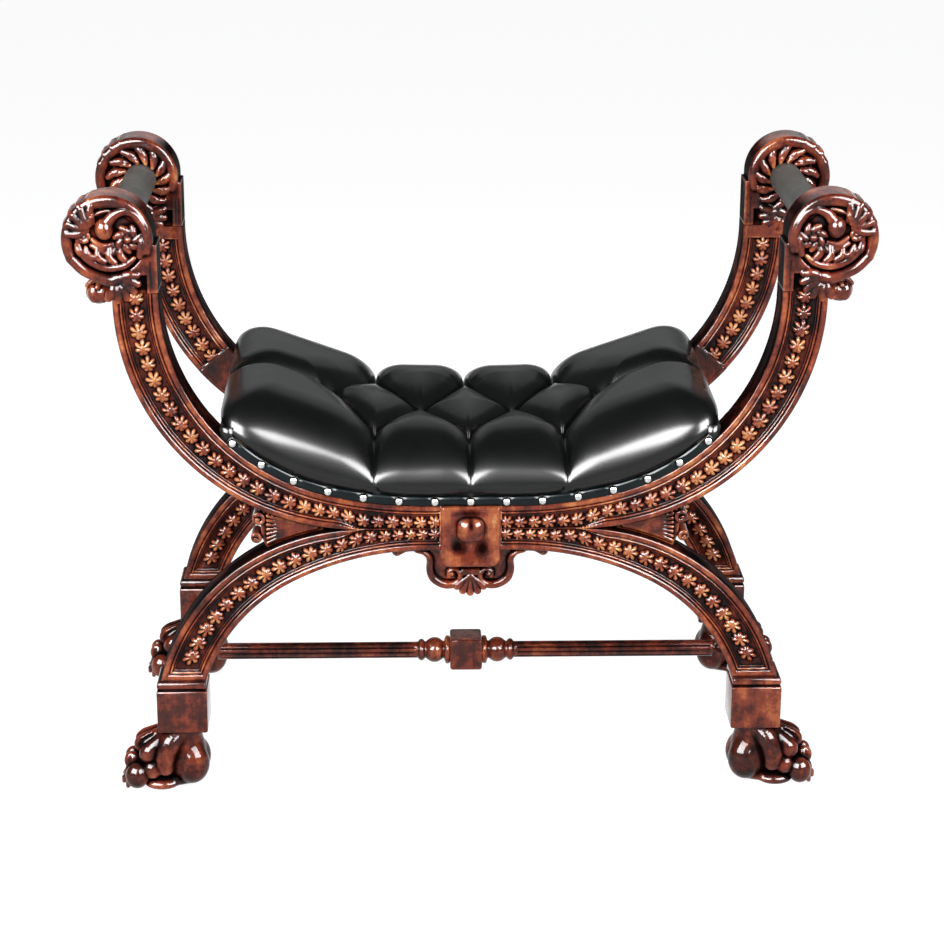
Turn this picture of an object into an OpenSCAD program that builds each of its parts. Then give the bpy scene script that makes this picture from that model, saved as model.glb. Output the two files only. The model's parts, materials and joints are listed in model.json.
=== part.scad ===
// Upholstered X-frame bench with scrolled arms, paw feet and a button-tufted seat.
// Millimetres. X runs along the bench, Y from front to back, Z up from the floor.
// Each frame piece is drawn once, for the front right corner, and mirrored to its other places.

/* [Overall] */
// Width over the scroll heads
overall_w = 1050; // [980:5:1120]
// Height to the top of the scroll heads
overall_h = 829; // [800:1:860]
// Distance between the middle planes of the front and rear frames
frame_spacing = 385; // [340:5:440]
// Height of the line on which arms and legs meet
cross_z = 376.5; // [366:0.5:390]

/* [Arms and legs] */
// Thickness of the arms and legs, front to back
member_t = 52; // [46:1:60]
// Width of an arm below its scroll
arm_w = 59; // [50:1:66]
// Radius of the arm's outer edge
arm_r = 314; // [300:1:330]
// Height of an arm where it meets the hub
arm_root_h = 32.5; // [28:0.5:38]
// Radius of the arm's upper edge along the middle of the seat
floor_r = 560; // [520:5:620]
// Radius of the arm's upper edge at the side
floor_side_r = 277; // [262:1:290]
// Angle at which those two radii meet
floor_angle = 13.75; // [12:0.25:16]
// How far the arm's outer edge lies inside the middle of the scroll
arm_setback = 3.5; // [1:0.5:6]
// How far below the middle of the scroll its head is joined to the arm
arm_neck_h = 69; // [65:1:79]
// Radius of the leg's outer edge
leg_r = 281; // [260:1:300]
// Width of a leg above its foot block
leg_w = 61; // [52:1:66]
// Height of a leg where it meets the hub
leg_root_h = 29.7; // [26:0.1:34]
// Distance from the middle of the bench to the middle of a leg's foot
foot_x = 387; // [375:1:400]
// Radius of the arch's crown
arch_r = 387; // [360:1:420]
// Radius of the arch's side
arch_side_r = 245.4; // [230:0.2:255]
// Angle at which those two radii meet
arch_angle = 27; // [23:0.5:30]

/* [Carved faces] */
// Width of the plain moulding along each edge
moulding_w = 12; // [8:0.5:14]
// Depth of the sunk panel between the mouldings
panel_depth = 4; // [2:0.5:7]
// Width of the groove along each moulding
groove_w = 1.6; // [1:0.1:3]
// Depth of that groove
groove_depth = 1.2; // [0.6:0.1:2]
// Distance of that groove from the edge
groove_inset = 4.5; // [3:0.5:6]
// Distance from the middle of the bench at which the panels of arm and leg part
merge_x = 100; // [80:2:120]
// Height from which the inner side of an arm is carved
inner_panel_z = 486; // [470:2:520]
// Width of the plain strip between the panels and the hub
hub_strip = 3; // [1:0.5:6]

/* [Hub and apron] */
// Width of the hub block
hub_w = 78; // [66:1:90]
// Thickness of the hub block
hub_t = 65; // [62:1:72]
// How far the hub hangs below the arch
hub_drop = 22; // [16:1:28]
// Radius of the hub's lower corners
hub_corner_r = 13; // [8:1:18]
// Radius of the boss on the hub
boss_r = 18.5; // [14:0.5:22]
// Height of the boss
boss_h = 13; // [8:0.5:16]
// Height of the boss's middle above the hub's lower edge
boss_z = 57; // [46:1:58]
// Thickness of the apron
apron_t = 38; // [24:1:46]
// Radius of the two scrolls of the apron
apron_scroll_r = 24; // [20:0.5:27]
// Distance of those scrolls from the middle
apron_scroll_x = 34; // [30:1:37]
// How far the middles of those scrolls lie below the hub
apron_scroll_drop = 6; // [3:0.5:9]
// Radius of the apron's shell
shell_r = 21; // [17:0.5:24]
// Distance of the little balls from the middle
ball_x = 98; // [90:1:112]
// Radius of the little balls
ball_r = 7.5; // [6:0.5:9]
// Thickness of the tendrils where they reach those balls
tendril_h = 7; // [5:0.5:9]
// Radius of the hollow under a tendril
tendril_r = 34; // [28:1:40]

/* [Scroll heads] */
// Radius of a scroll head
scroll_r = 60; // [54:1:64]
// Thickness of a scroll head's band
scroll_t = 60; // [56:1:70]
// Width of that band
band_w = 14; // [10:0.5:17]
// Radius of the rounded edges of that band
band_round = 6; // [3:0.5:6.5]
// Gap between the band and the core
band_gap = 2; // [1:0.5:4]
// Thickness of the scroll's core
core_t = 46; // [40:1:52]
// Thickness of the web between the band and the core
web_t = 38; // [30:1:44]
// Width of the bulb that ends the band
bulb_d = 18; // [15:0.5:22]
// Radius of the dome on the core
dome_r = 30; // [24:1:36]
// Height of the dome on the core
dome_h = 6; // [3:0.5:9]
// Radius of the bud below the scroll
bud_r = 17.5; // [14:0.5:20]
// Height of the bud's middle below the middle of the scroll
bud_drop = 70; // [66:1:78]

/* [Spandrels] */
// Thickness of a spandrel
spandrel_t = 34; // [24:1:44]
// Distance of its pointed end from the middle of the bench
spandrel_tip_x = 200; // [190:1:225]
// Distance of its open end from the middle of the bench
spandrel_end_x = 287; // [280:1:300]
// Radius of its larger volute
volute_r = 11; // [8:0.5:13]
// Radius of its smaller volute
small_volute_r = 9; // [6:0.5:11]

/* [Feet] */
// Height of a paw
paw_h = 87; // [78:1:96]
// Height at which the leg stands on its block
block_top_z = 162; // [154:1:170]
// Height of the moulded cap of a block
cap_h = 14; // [9:0.5:20]
// Width of a block
block_w = 68; // [66:1:76]
// Thickness of a block, front to back
block_t = 65; // [62:1:72]
// How far a block lies outside its leg
block_shift = 3; // [0:0.5:5]
// Reach of the toes beyond the middle of the block
toe_reach = 90; // [80:1:100]
// Reach of the heel inside the middle of the block
heel_reach = 36; // [32:1:42]
// Width of a paw, front to back
paw_w = 76; // [68:1:84]
// Radius of a paw where it meets its block
paw_neck_r = 26; // [22:1:30]

/* [Stretchers] */
// Height of the stretchers
stretcher_z = 114; // [110:1:126]
// Height of a cross stretcher
cross_rail_h = 34; // [28:1:40]
// Width of a cross stretcher
cross_rail_w = 26; // [20:1:32]
// Diameter of the long stretcher
stretcher_d = 24; // [20:0.5:28]
// Side of the block in its middle
stretcher_block = 46; // [38:1:54]
// Length of the collars beside that block
collar_l = 8; // [5:0.5:12]
// Diameter of its turned beads
bead_d = 36; // [28:0.5:40]
// Length of those beads
bead_l = 28; // [20:0.5:34]
// Length of the rings beyond them
ring_l = 6; // [3:0.5:9]
// Diameter of its end balls
end_ball_d = 17; // [14:0.5:20]
// Diameter of its end tenons
stretcher_tenon_d = 12; // [9:0.5:14]
// Length of its end tenons
stretcher_tenon_l = 11; // [8:0.5:14]

/* [Arm rails] */
// Diameter over the leather
rail_d = 46; // [40:1:52]
// Diameter of the wooden core
rail_core_d = 36; // [28:1:38]
// How far a rail lies inside the middle of its scroll
rail_shift = 6; // [0:0.5:8]
// Diameter of the core's tenons
rail_tenon_d = 18; // [14:0.5:22]
// Length of the core's tenons
rail_tenon_l = 22; // [15:1:30]

/* [Seat] */
// Half the width of the seat deck
seat_half = 322; // [305:1:328]
// Thickness of the bent seat deck
deck_t = 12.5; // [9:0.5:16]
// Thickness of the trim band
band_t = 2; // [1:0.25:3]
// Spacing of the nails along the band
nail_pitch = 47.5; // [42:0.5:49]
// Number of nails to each side of the middle one
nail_pairs = 7; // [4:1:7]
// Diameter of a nail head
nail_d = 11; // [8:0.5:12]
// Height of a nail head
nail_h = 3.6; // [2:0.2:4.5]
// Width of a bearer
bearer_w = 40; // [30:1:50]
// Depth of a bearer
bearer_h = 24; // [18:1:30]
// Slope of the seat over the middle bearers
bearer_angle = 21; // [18:0.5:25]
// Slope of the seat over the end bearers
end_bearer_angle = 40; // [37:0.5:41]

/* [Cushion] */
// Thickness of the cushion in the middle
cushion_h = 90; // [75:1:105]
// Thickness that the cushion loses towards its ends
cushion_end_loss = 24; // [12:1:30]
// How far inside the deck's ends the side walls stop rising with it
end_ease = 16; // [8:1:24]
// Height of the widest line of the sides
rim_h = 30; // [22:1:38]
// How far the sides bulge beyond the deck
bulge = 9; // [4:0.5:12]
// Distance between tufts along the bench
tuft_pitch = 128; // [120:1:134]
// Distance between rows of tufts
tuft_row = 110; // [96:1:116]
// Thickness that is left under a tuft
tuft_floor = 37; // [30:1:48]
// Depth of a pleat
pleat_depth = 28; // [16:1:34]
// Half the width of a pleat
pleat_w = 15; // [10:1:22]
// How far a pleat draws the sides in
pleat_draw = 3; // [1:0.5:5]
// Radius of a tuft button
button_r = 8; // [6:0.5:10]
// Height of a tuft button
button_h = 5; // [3:0.5:7]

/* [Joints] */
// Diameter of the dowels
dowel_d = 10; // [8:0.5:12]
// Length of a dowel
dowel_l = 40; // [30:1:50]
// Room round a dowel or a tenon
dowel_clearance = 0.1; // [0.05:0.05:0.3]
// Room between pieces that touch along a curve
curve_clearance = 0.2; // [0.1:0.05:0.3]
// Room left at the bottom of a dowel hole
hole_end = 1; // [0.5:0.5:2]

/* [Hidden] */

FRONT = 0;
REAR = 1;
RIGHT = 0;
LEFT = 1;
MAHOGANY = "#6b2c1c";
LEATHER = "#1d2322";
far = 1500;
lap = 1; // how far the shapes that make up one piece run into each other
$fn = 96;

// Places of the frame
frame_y = frame_spacing / 2;
scroll_x = overall_w / 2 - scroll_r;
scroll_z = overall_h - scroll_r;
arm_top_z = scroll_z - arm_neck_h;
arm_out_x = scroll_x - arm_setback;
arm_in_x = arm_out_x - arm_w;
arm_cx = arm_out_x - arm_r;
arm_cz = cross_z + arm_r;
floor_z = cross_z + arm_root_h;
side_cx = arm_in_x - floor_side_r;
floor_cx = side_cx - (floor_r - floor_side_r) * sin(floor_angle);
floor_cz = floor_z + floor_r;
side_cz = floor_cz - (floor_r - floor_side_r) * cos(floor_angle);
leg_out_x = foot_x + leg_w / 2;
leg_cz = cross_z - leg_r;
leg_cx = leg_out_x - sqrt(leg_r * leg_r - pow(block_top_z - leg_cz, 2));
arch_z = cross_z - leg_root_h;
arch_cz = arch_z - arch_r;
arch_side_cz = arch_cz + (arch_r - arch_side_r) * cos(arch_angle);
arch_side_cx = foot_x - leg_w / 2 - sqrt(pow(arch_side_r, 2) - pow(block_top_z - arch_side_cz, 2));
arch_cx = arch_side_cx - (arch_r - arch_side_r) * sin(arch_angle);
hub_bottom_z = arch_z - hub_drop;
block_x = foot_x + block_shift;
core_r = scroll_r - band_w - band_gap;
band_start = 190;
band_sweep = 305;
rail_x = scroll_x - rail_shift;
rail_l = frame_spacing - core_t;
inner_face_y = frame_y - member_t / 2;
block_inner_y = frame_y - block_t / 2;
deck_y = frame_y + member_t / 2 - band_t;

// Height of the arm's upper edge at x, raised by up, and its slope
function edge_z(x, up) = let (a = abs(x), junction = floor_cx + (floor_r - up) * sin(floor_angle))
    a <= floor_cx ? floor_z + up
    : a <= junction ? floor_cz - sqrt(pow(floor_r - up, 2) - pow(a - floor_cx, 2))
    : side_cz - sqrt(pow(floor_side_r - up, 2) - pow(a - side_cx, 2));

// Slope of the arm's upper edge after a length s along it, counted from the middle
function slope_at(s, up) = let (flat_end = max(floor_cx, 0), floor_l = (floor_r - up) * floor_angle * PI / 180)
    s <= flat_end ? 0
    : s <= flat_end + floor_l ? (s - flat_end) / (floor_r - up) * 180 / PI
    : floor_angle + (s - flat_end - floor_l) / (floor_side_r - up) * 180 / PI;
function edge_point(s, up) = let (a = slope_at(s, up))
    a == 0 ? [s, floor_z + up]
    : a < floor_angle ? [floor_cx + (floor_r - up) * sin(a), floor_cz - (floor_r - up) * cos(a)]
    : side_point(a, up);
function side_point(a, up) = [side_cx + (floor_side_r - up) * sin(a), side_cz - (floor_side_r - up) * cos(a)];

module corner(end, side) {
    mirror([side, 0, 0])
        mirror([0, end, 0])
            translate([0, -frame_y, 0])
                children();
}

module frame_end(end) {
    mirror([0, end, 0])
        translate([0, -frame_y, 0])
            children();
}

// A drawing in X and Z, given a thickness about the frame's middle plane
module slab(t) {
    rotate([90, 0, 0])
        linear_extrude(height = t, center = true)
            children();
}

module box_2d(x0, z0, x1, z1) {
    translate([x0, z0])
        square([x1 - x0, z1 - z0]);
}

// The space above the seat's curve, widened by inset
module seat_void(inset) {
    reach = 1.3 * floor_r;
    box_2d(-far, floor_z - inset, max(floor_cx, 0), far);
    intersection() {
        translate([floor_cx, floor_cz])
            circle(floor_r + inset, $fn = 360);
        translate([floor_cx, floor_cz])
            polygon([[0, 0], [-lap, 0], [-lap, -reach], [reach * sin(floor_angle), -reach * cos(floor_angle)]]);
    }
    translate([side_cx, side_cz])
        circle(floor_side_r + inset, $fn = 360);
    box_2d(-far, side_cz, arm_in_x + inset, far);
}

// The space inside the arm's outer edge, narrowed by inset
module arm_outside(inset) {
    box_2d(0, cross_z + inset, arm_cx, arm_cz);
    translate([arm_cx, arm_cz])
        circle(arm_r - inset, $fn = 360);
    box_2d(0, arm_cz, arm_out_x - inset, far);
}

module arm_2d(inset, x0, top) {
    intersection() {
        difference() {
            arm_outside(inset);
            seat_void(inset);
        }
        box_2d(x0, 0, far, top);
    }
}

// The space under the arch, widened by inset
module arch_void(inset) {
    reach = 1.3 * arch_r;
    box_2d(-far, -far, arch_cx, arch_z + inset);
    intersection() {
        translate([arch_cx, arch_cz])
            circle(arch_r + inset, $fn = 360);
        translate([arch_cx, arch_cz])
            polygon([[0, 0], [-lap, 0], [-lap, reach], [reach * sin(arch_angle), reach * cos(arch_angle)]]);
    }
    translate([arch_side_cx, arch_side_cz])
        circle(arch_side_r + inset, $fn = 360);
}

module leg_outside(inset) {
    box_2d(0, leg_cz, leg_cx, cross_z - inset);
    translate([leg_cx, leg_cz])
        circle(leg_r - inset, $fn = 360);
}

module leg_2d(inset, x0, bottom) {
    intersection() {
        difference() {
            leg_outside(inset);
            arch_void(inset);
        }
        box_2d(x0, bottom, far, far);
    }
}

// The panel sunk into the face of an arm, which runs into the leg's panel beside the hub
module arm_panel_2d() {
    arm_2d(moulding_w, merge_x, arm_top_z - moulding_w);
    difference() {
        box_2d(hub_w / 2 + hub_strip, cross_z - lap, merge_x + lap, floor_z + arm_root_h);
        seat_void(moulding_w);
    }
}

module arm_grooves_2d() {
    intersection() {
        arm_2d(0, hub_w / 2, arm_top_z);
        union() {
            difference() {
                seat_void(groove_inset + groove_w);
                seat_void(groove_inset);
            }
            difference() {
                box_2d(merge_x, 0, far, far);
                arm_outside(groove_inset + groove_w);
            }
        }
        arm_outside(groove_inset);
    }
}

module leg_panel_2d() {
    leg_2d(moulding_w, merge_x, block_top_z + moulding_w);
    difference() {
        box_2d(hub_w / 2 + hub_strip, arch_z, merge_x + lap, cross_z + lap);
        arch_void(moulding_w);
    }
}

module leg_grooves_2d() {
    intersection() {
        leg_2d(0, hub_w / 2, block_top_z);
        union() {
            difference() {
                arch_void(groove_inset + groove_w);
                arch_void(groove_inset);
            }
            difference() {
                box_2d(merge_x, 0, far, far);
                leg_outside(groove_inset + groove_w);
            }
        }
        leg_outside(groove_inset);
    }
}

// Cuts a drawing into the outer face of a frame piece
module cut_outer(t, depth) {
    translate([0, -t / 2, 0])
        slab(2 * depth)
            children();
}

module cut_inner(t, depth) {
    translate([0, t / 2, 0])
        slab(2 * depth)
            children();
}

// A dowel hole with its middle at the point and its axis along dir
module dowel_hole(p, dir) {
    translate(p)
        rotate(dir)
            cylinder(d = dowel_d + 2 * dowel_clearance, h = dowel_l + 2 * hole_end, center = true);
}

module dowel(p, dir) {
    translate(p)
        rotate(dir)
            cylinder(d = dowel_d, h = dowel_l, center = true);
}

ALONG_X = [0, 90, 0];
ALONG_Y = [90, 0, 0];
ALONG_Z = [0, 0, 0];
arm_dowel = [hub_w / 2, 0, cross_z + arm_root_h / 2];
leg_dowel = [hub_w / 2, 0, cross_z - leg_root_h / 2];
scroll_dowel = [arm_out_x - arm_w / 2, 0, arm_top_z];
foot_dowel = [foot_x, 0, block_top_z];
paw_dowel = [block_x, 0, paw_h];

module arm() {
    color(MAHOGANY)
        difference() {
            slab(member_t)
                arm_2d(0, hub_w / 2, arm_top_z);
            cut_outer(member_t, panel_depth)
                arm_panel_2d();
            cut_inner(member_t, panel_depth)
                intersection() {
                    arm_panel_2d();
                    box_2d(0, inner_panel_z, far, far);
                }
            cut_outer(member_t, groove_depth)
                arm_grooves_2d();
            cut_inner(member_t, groove_depth)
                arm_grooves_2d();
            dowel_hole(arm_dowel, ALONG_X);
            dowel_hole(scroll_dowel, ALONG_Z);
            for (p = arm_bearer_dowels)
                dowel_hole(p, ALONG_Y);
        }
}

module leg() {
    color(MAHOGANY)
        difference() {
            slab(member_t)
                leg_2d(0, hub_w / 2, block_top_z);
            cut_outer(member_t, panel_depth)
                leg_panel_2d();
            cut_inner(member_t, panel_depth)
                leg_panel_2d();
            cut_outer(member_t, groove_depth)
                leg_grooves_2d();
            cut_inner(member_t, groove_depth)
                leg_grooves_2d();
            dowel_hole(leg_dowel, ALONG_X);
            dowel_hole(foot_dowel, ALONG_Z);
        }
}

// The hub from the front, widened by grow, up to the given height
module hub_2d(grow, top) {
    half = hub_w / 2 + grow;
    corner = hub_corner_r + grow;
    low = hub_bottom_z - grow;
    box_2d(-half, low + corner, half, top);
    box_2d(corner - half, low, half - corner, top);
    for (x = [-1, 1])
        translate([x * (half - corner), low + corner])
            circle(corner);
}

module hub() {
    color(MAHOGANY)
        difference() {
            slab(hub_t)
                hub_2d(0, floor_z);
            for (x = [-1, 1]) {
                dowel_hole([x * arm_dowel[0], 0, arm_dowel[2]], ALONG_X);
                dowel_hole([x * leg_dowel[0], 0, leg_dowel[2]], ALONG_X);
            }
            boss_hole();
            dowel_hole([0, hub_t / 2, middle_bearer_z], ALONG_Y);
        }
}

boss_shank_d = dowel_d;
boss_shank_l = 15;
boss_mid_z = hub_bottom_z + boss_z;
module boss_hole() {
    translate([0, boss_shank_l + hole_end - hub_t / 2, boss_mid_z])
        rotate(ALONG_Y)
            cylinder(d = boss_shank_d + 2 * dowel_clearance, h = boss_shank_l + hole_end + lap);
}

module hub_boss() {
    cap_r = (boss_r * boss_r + boss_h * boss_h) / (2 * boss_h);
    color(MAHOGANY)
        translate([0, -hub_t / 2, boss_mid_z])
            rotate(ALONG_Y) {
                translate([0, 0, -boss_shank_l])
                    cylinder(d = boss_shank_d, h = boss_shank_l + boss_h / 2);
                intersection() {
                    translate([0, 0, boss_h - cap_r])
                        sphere(cap_r);
                    cylinder(r = boss_r + lap, h = boss_h + lap);
                }
            }
}

// Outline of the apron's right half, hung from the underside of the arch and the hub
module apron_2d() {
    scroll_mid_z = hub_bottom_z - apron_scroll_drop;
    translate([apron_scroll_x, scroll_mid_z])
        circle(apron_scroll_r);
    translate([0, hub_bottom_z - shell_r])
        circle(shell_r);
    box_2d(0, scroll_mid_z - apron_scroll_r / 4, apron_scroll_x, arch_z);
    box_2d(apron_scroll_x, scroll_mid_z, apron_scroll_x + apron_scroll_r, arch_z);
    difference() {
        box_2d(hub_w / 2, arch_z - 2 * ball_r, ball_x, arch_z + lap);
        translate([ball_x, arch_z - tendril_h - tendril_r])
            circle(tendril_r);
    }
    translate([ball_x, arch_z - ball_r])
        circle(ball_r);
}

module apron() {
    color(MAHOGANY)
        slab(apron_t)
            difference() {
                for (side = [0, 1])
                    mirror([side, 0])
                        intersection() {
                            apron_2d();
                            arch_void(-curve_clearance);
                        }
                hub_2d(curve_clearance, far);
            }
}

module spandrel() {
    mid_z = (arm_low_z(spandrel_end_x) + leg_high_z(spandrel_end_x)) / 2;
    color(MAHOGANY)
        slab(spandrel_t)
            difference() {
                union() {
                    box_2d(spandrel_tip_x, leg_high_z(spandrel_end_x), spandrel_end_x - volute_r, arm_low_z(spandrel_end_x));
                    translate([spandrel_end_x - volute_r, mid_z + volute_r])
                        circle(volute_r);
                    translate([spandrel_end_x - small_volute_r, mid_z - small_volute_r])
                        circle(small_volute_r);
                }
                arm_outside(-curve_clearance);
                leg_outside(-curve_clearance);
            }
}

function arm_low_z(x) = arm_cz - sqrt(arm_r * arm_r - pow(x - arm_cx, 2));
function leg_high_z(x) = leg_cz + sqrt(leg_r * leg_r - pow(x - leg_cx, 2));

// The scroll's band in section: radius along X, thickness along Y
module band_profile() {
    half = scroll_t / 2;
    translate([scroll_r - band_w, band_round - half])
        square([band_w, scroll_t - 2 * band_round]);
    translate([scroll_r - band_w + band_round, -half])
        square([band_w - 2 * band_round, scroll_t]);
    for (x = [scroll_r - band_w + band_round, scroll_r - band_round], y = [-1, 1])
        translate([x, y * (half - band_round)])
            circle(band_round, $fn = 32);
}

module scroll() {
    band_end = band_start - band_sweep;
    mid_r = scroll_r - band_w / 2;
    cap_r = (dome_r * dome_r + dome_h * dome_h) / (2 * dome_h);
    neck_reach = scroll_z - core_r + band_w / 2;
    color(MAHOGANY)
        difference() {
            union() {
                translate([scroll_x, 0, scroll_z])
                    rotate(ALONG_Y) {
                        rotate([0, 0, band_end])
                            rotate_extrude(angle = band_sweep)
                                band_profile();
                        cylinder(r = core_r, h = core_t, center = true);
                        translate([mid_r * cos(band_end), mid_r * sin(band_end), 0])
                            cylinder(d = bulb_d, h = scroll_t, center = true);
                        intersection() {
                            translate([0, 0, core_t / 2 + dome_h - cap_r])
                                sphere(cap_r);
                            cylinder(r = dome_r, h = core_t);
                        }
                        cylinder(r = scroll_r - band_w + lap, h = web_t, center = true);
                    }
                slab(member_t) {
                    box_2d(arm_in_x, arm_top_z, arm_out_x, neck_reach);
                    box_2d(arm_in_x, arm_top_z, scroll_x - scroll_r + band_w / 2, scroll_z);
                }
            }
            dowel_hole(scroll_dowel, ALONG_Z);
            translate([rail_x, core_t / 2, scroll_z])
                rotate([-90, 0, 0])
                    translate([0, 0, -rail_tenon_l - hole_end])
                        cylinder(d = rail_tenon_d + 2 * dowel_clearance, h = rail_tenon_l + hole_end + far);
        }
}

module bud() {
    bud_x = arm_out_x + curve_clearance + bud_r;
    neck_r = bud_r * 0.45;
    color(MAHOGANY)
        difference() {
            translate([bud_x, 0, scroll_z - bud_drop])
                union() {
                    sphere(bud_r);
                    cylinder(r = neck_r, h = bud_drop - scroll_r / 2);
                    translate([0, 0, bud_r * 0.7])
                        cylinder(r1 = bud_r * 0.75, r2 = neck_r, h = bud_r * 0.5);
                }
            translate([scroll_x, 0, scroll_z])
                rotate(ALONG_Y)
                    cylinder(r = scroll_r + curve_clearance, h = scroll_t, center = true);
        }
}

module foot_block() {
    cap_in = 2;
    neck_h = 3;
    lower_top = block_top_z - cap_h;
    color(MAHOGANY)
        difference() {
            union() {
                centred_box(block_x, block_w, block_t, paw_h, lower_top);
                centred_box(block_x, block_w - 3 * cap_in, block_t - 3 * cap_in, lower_top, lower_top + neck_h);
                centred_box(block_x, block_w - cap_in, block_t - cap_in, lower_top + neck_h, block_top_z);
            }
            dowel_hole(foot_dowel, ALONG_Z);
            dowel_hole(paw_dowel, ALONG_Z);
            translate([block_x, block_t / 2, stretcher_z])
                rail_tenon_hole(cross_tenon_d, cross_tenon_l);
        }
}

module centred_box(x, w, t, z0, z1) {
    translate([x - w / 2, -t / 2, z0])
        cube([w, t, z1 - z0]);
}

cross_tenon_d = 18;
cross_tenon_l = 20;
// A hole that runs to the front from a face that looks to the back
module rail_tenon_hole(d, l) {
    rotate(ALONG_Y)
        translate([0, 0, -lap])
            cylinder(d = d + 2 * dowel_clearance, h = l + hole_end + lap);
}

module paw() {
    neck_h = paw_h / 20;
    sole_h = paw_h / 40;
    outer_toe_back = toe_reach / 11;
    toe_r = paw_w / 6;
    toe_gap = (paw_w - 2 * toe_r) / 3;
    heel_r = paw_w * 0.42;
    color(MAHOGANY)
        difference() {
            intersection() {
                union() {
                    hull() {
                        translate([block_x, 0, paw_h - neck_h])
                            cylinder(r = paw_neck_r, h = neck_h, $fn = 24);
                        translate([block_x - heel_reach + heel_r, 0, paw_h * 0.48])
                            sphere(heel_r, $fn = 24);
                        translate([block_x + toe_reach * 0.38, 0, paw_h * 0.5])
                            sphere(heel_r, $fn = 24);
                        translate([block_x + toe_reach * 0.15, 0, 0])
                            scale([1.6, 1, 1])
                                cylinder(r = paw_neck_r, h = sole_h, $fn = 24);
                    }
                    for (k = [0 : 3])
                        paw_toe(-paw_w / 2 + toe_r + k * toe_gap, k == 0 || k == 3 ? outer_toe_back : 0, toe_r);
                }
                centred_box(block_x, 4 * toe_reach, 2 * paw_w, 0, paw_h);
            }
            dowel_hole(paw_dowel, ALONG_Z);
        }
}

// A toe at y, whose tip is held back by back
module paw_toe(y, back, toe_r) {
    // How far each ball lies behind the tip, in toe radii, and its height
    balls = [[1, 0.8 * toe_r], [1.5, 0.47 * paw_h], [3, 0.7 * paw_h], [3.6, 0.8 * toe_r]];
    hull()
        for (b = balls)
            translate([block_x + toe_reach - back - b[0] * toe_r, y, b[1]])
                sphere(toe_r, $fn = 16);
}

module frame_dowels() {
    color("tan")
        for (side = [0, 1])
            mirror([side, 0, 0]) {
                dowel(arm_dowel, ALONG_X);
                dowel(leg_dowel, ALONG_X);
                dowel(scroll_dowel, ALONG_Z);
                dowel(foot_dowel, ALONG_Z);
                dowel(paw_dowel, ALONG_Z);
            }
}

module cross_stretcher() {
    color(MAHOGANY)
        difference() {
            union() {
                translate([block_x - cross_rail_w / 2, -block_inner_y, stretcher_z - cross_rail_h / 2])
                    cube([cross_rail_w, 2 * block_inner_y, cross_rail_h]);
                translate([block_x, 0, stretcher_z])
                    rotate(ALONG_Y)
                        cylinder(d = cross_tenon_d, h = 2 * (block_inner_y + cross_tenon_l), center = true);
            }
            translate([block_x - cross_rail_w / 2 - lap, 0, stretcher_z])
                rotate(ALONG_X)
                    cylinder(d = stretcher_tenon_d + 2 * dowel_clearance, h = stretcher_tenon_l + hole_end + lap);
        }
}

// The turned half of the long stretcher: radius along X, distance from its block along Y
module stretcher_profile(l) {
    bead_r = bead_d / 2;
    collar_r = bead_r + 2;
    bar_r = stretcher_d / 2;
    ring_r = bar_r + 2.5;
    ring_start = collar_l + bead_l + 2;
    end_r = end_ball_d / 2;
    box_2d(0, 0, bar_r, l - 2 * end_r);
    box_2d(0, 0, collar_r, collar_l);
    intersection() {
        translate([0, collar_l + bead_l / 2])
            circle(bead_r);
        box_2d(0, collar_l, bead_r, collar_l + bead_l);
    }
    box_2d(0, ring_start, ring_r, ring_start + ring_l);
    translate([0, l - end_r])
        intersection() {
            circle(end_r, $fn = 48);
            box_2d(0, -end_r, end_r, end_r);
        }
    box_2d(0, l - 2 * end_r - lap, end_r * 0.7, l);
    box_2d(0, l - lap, stretcher_tenon_d / 2, l + stretcher_tenon_l);
}

module long_stretcher() {
    half = stretcher_block / 2;
    l = block_x - cross_rail_w / 2 - half;
    color(MAHOGANY)
        translate([0, 0, stretcher_z]) {
            cube(stretcher_block, center = true);
            for (side = [-1, 1])
                rotate([0, side * 90, 0])
                    translate([0, 0, half])
                        rotate_extrude()
                            stretcher_profile(l);
        }
}

module arm_rail_core() {
    color("tan")
        translate([rail_x, 0, scroll_z])
            rotate(ALONG_Y) {
                cylinder(d = rail_core_d, h = rail_l, center = true);
                cylinder(d = rail_tenon_d, h = rail_l + 2 * rail_tenon_l, center = true);
            }
}

module arm_rail_leather() {
    color(LEATHER)
        translate([rail_x, 0, scroll_z])
            rotate(ALONG_Y)
                difference() {
                    cylinder(d = rail_d, h = rail_l, center = true);
                    cylinder(d = rail_core_d + 2 * curve_clearance, h = far, center = true);
                }
}

middle_bearer_z = floor_z - bearer_h / 2;
bearer_mid_up = -curve_clearance - bearer_h / 2;
arm_bearer_dowels = [for (a = [bearer_angle, end_bearer_angle])
    let (p = side_point(a, bearer_mid_up)) [p[0], member_t / 2, p[1]]];

// A rail under the deck, square to the slope there
module bearer(a, half_l) {
    p = side_point(a, bearer_mid_up);
    color("burlywood")
        difference() {
            translate([p[0], 0, p[1]])
                rotate([0, -a, 0])
                    cube([bearer_w, 2 * half_l, bearer_h], center = true);
            for (side = [-1, 1])
                dowel_hole([p[0], side * half_l, p[1]], ALONG_Y);
        }
}

module middle_bearer() {
    color("burlywood")
        difference() {
            translate([0, 0, middle_bearer_z])
                cube([bearer_w, frame_spacing - hub_t, bearer_h], center = true);
            for (side = [-1, 1])
                dowel_hole([0, side * (frame_y - hub_t / 2), middle_bearer_z], ALONG_Y);
        }
}

module seat_bearer_dowels() {
    color("tan")
        for (end = [-1, 1]) {
            dowel([0, end * (frame_y - hub_t / 2), middle_bearer_z], ALONG_Y);
            for (side = [-1, 1], p = arm_bearer_dowels)
                dowel([side * p[0], end * inner_face_y, p[2]], ALONG_Y);
        }
}

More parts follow.
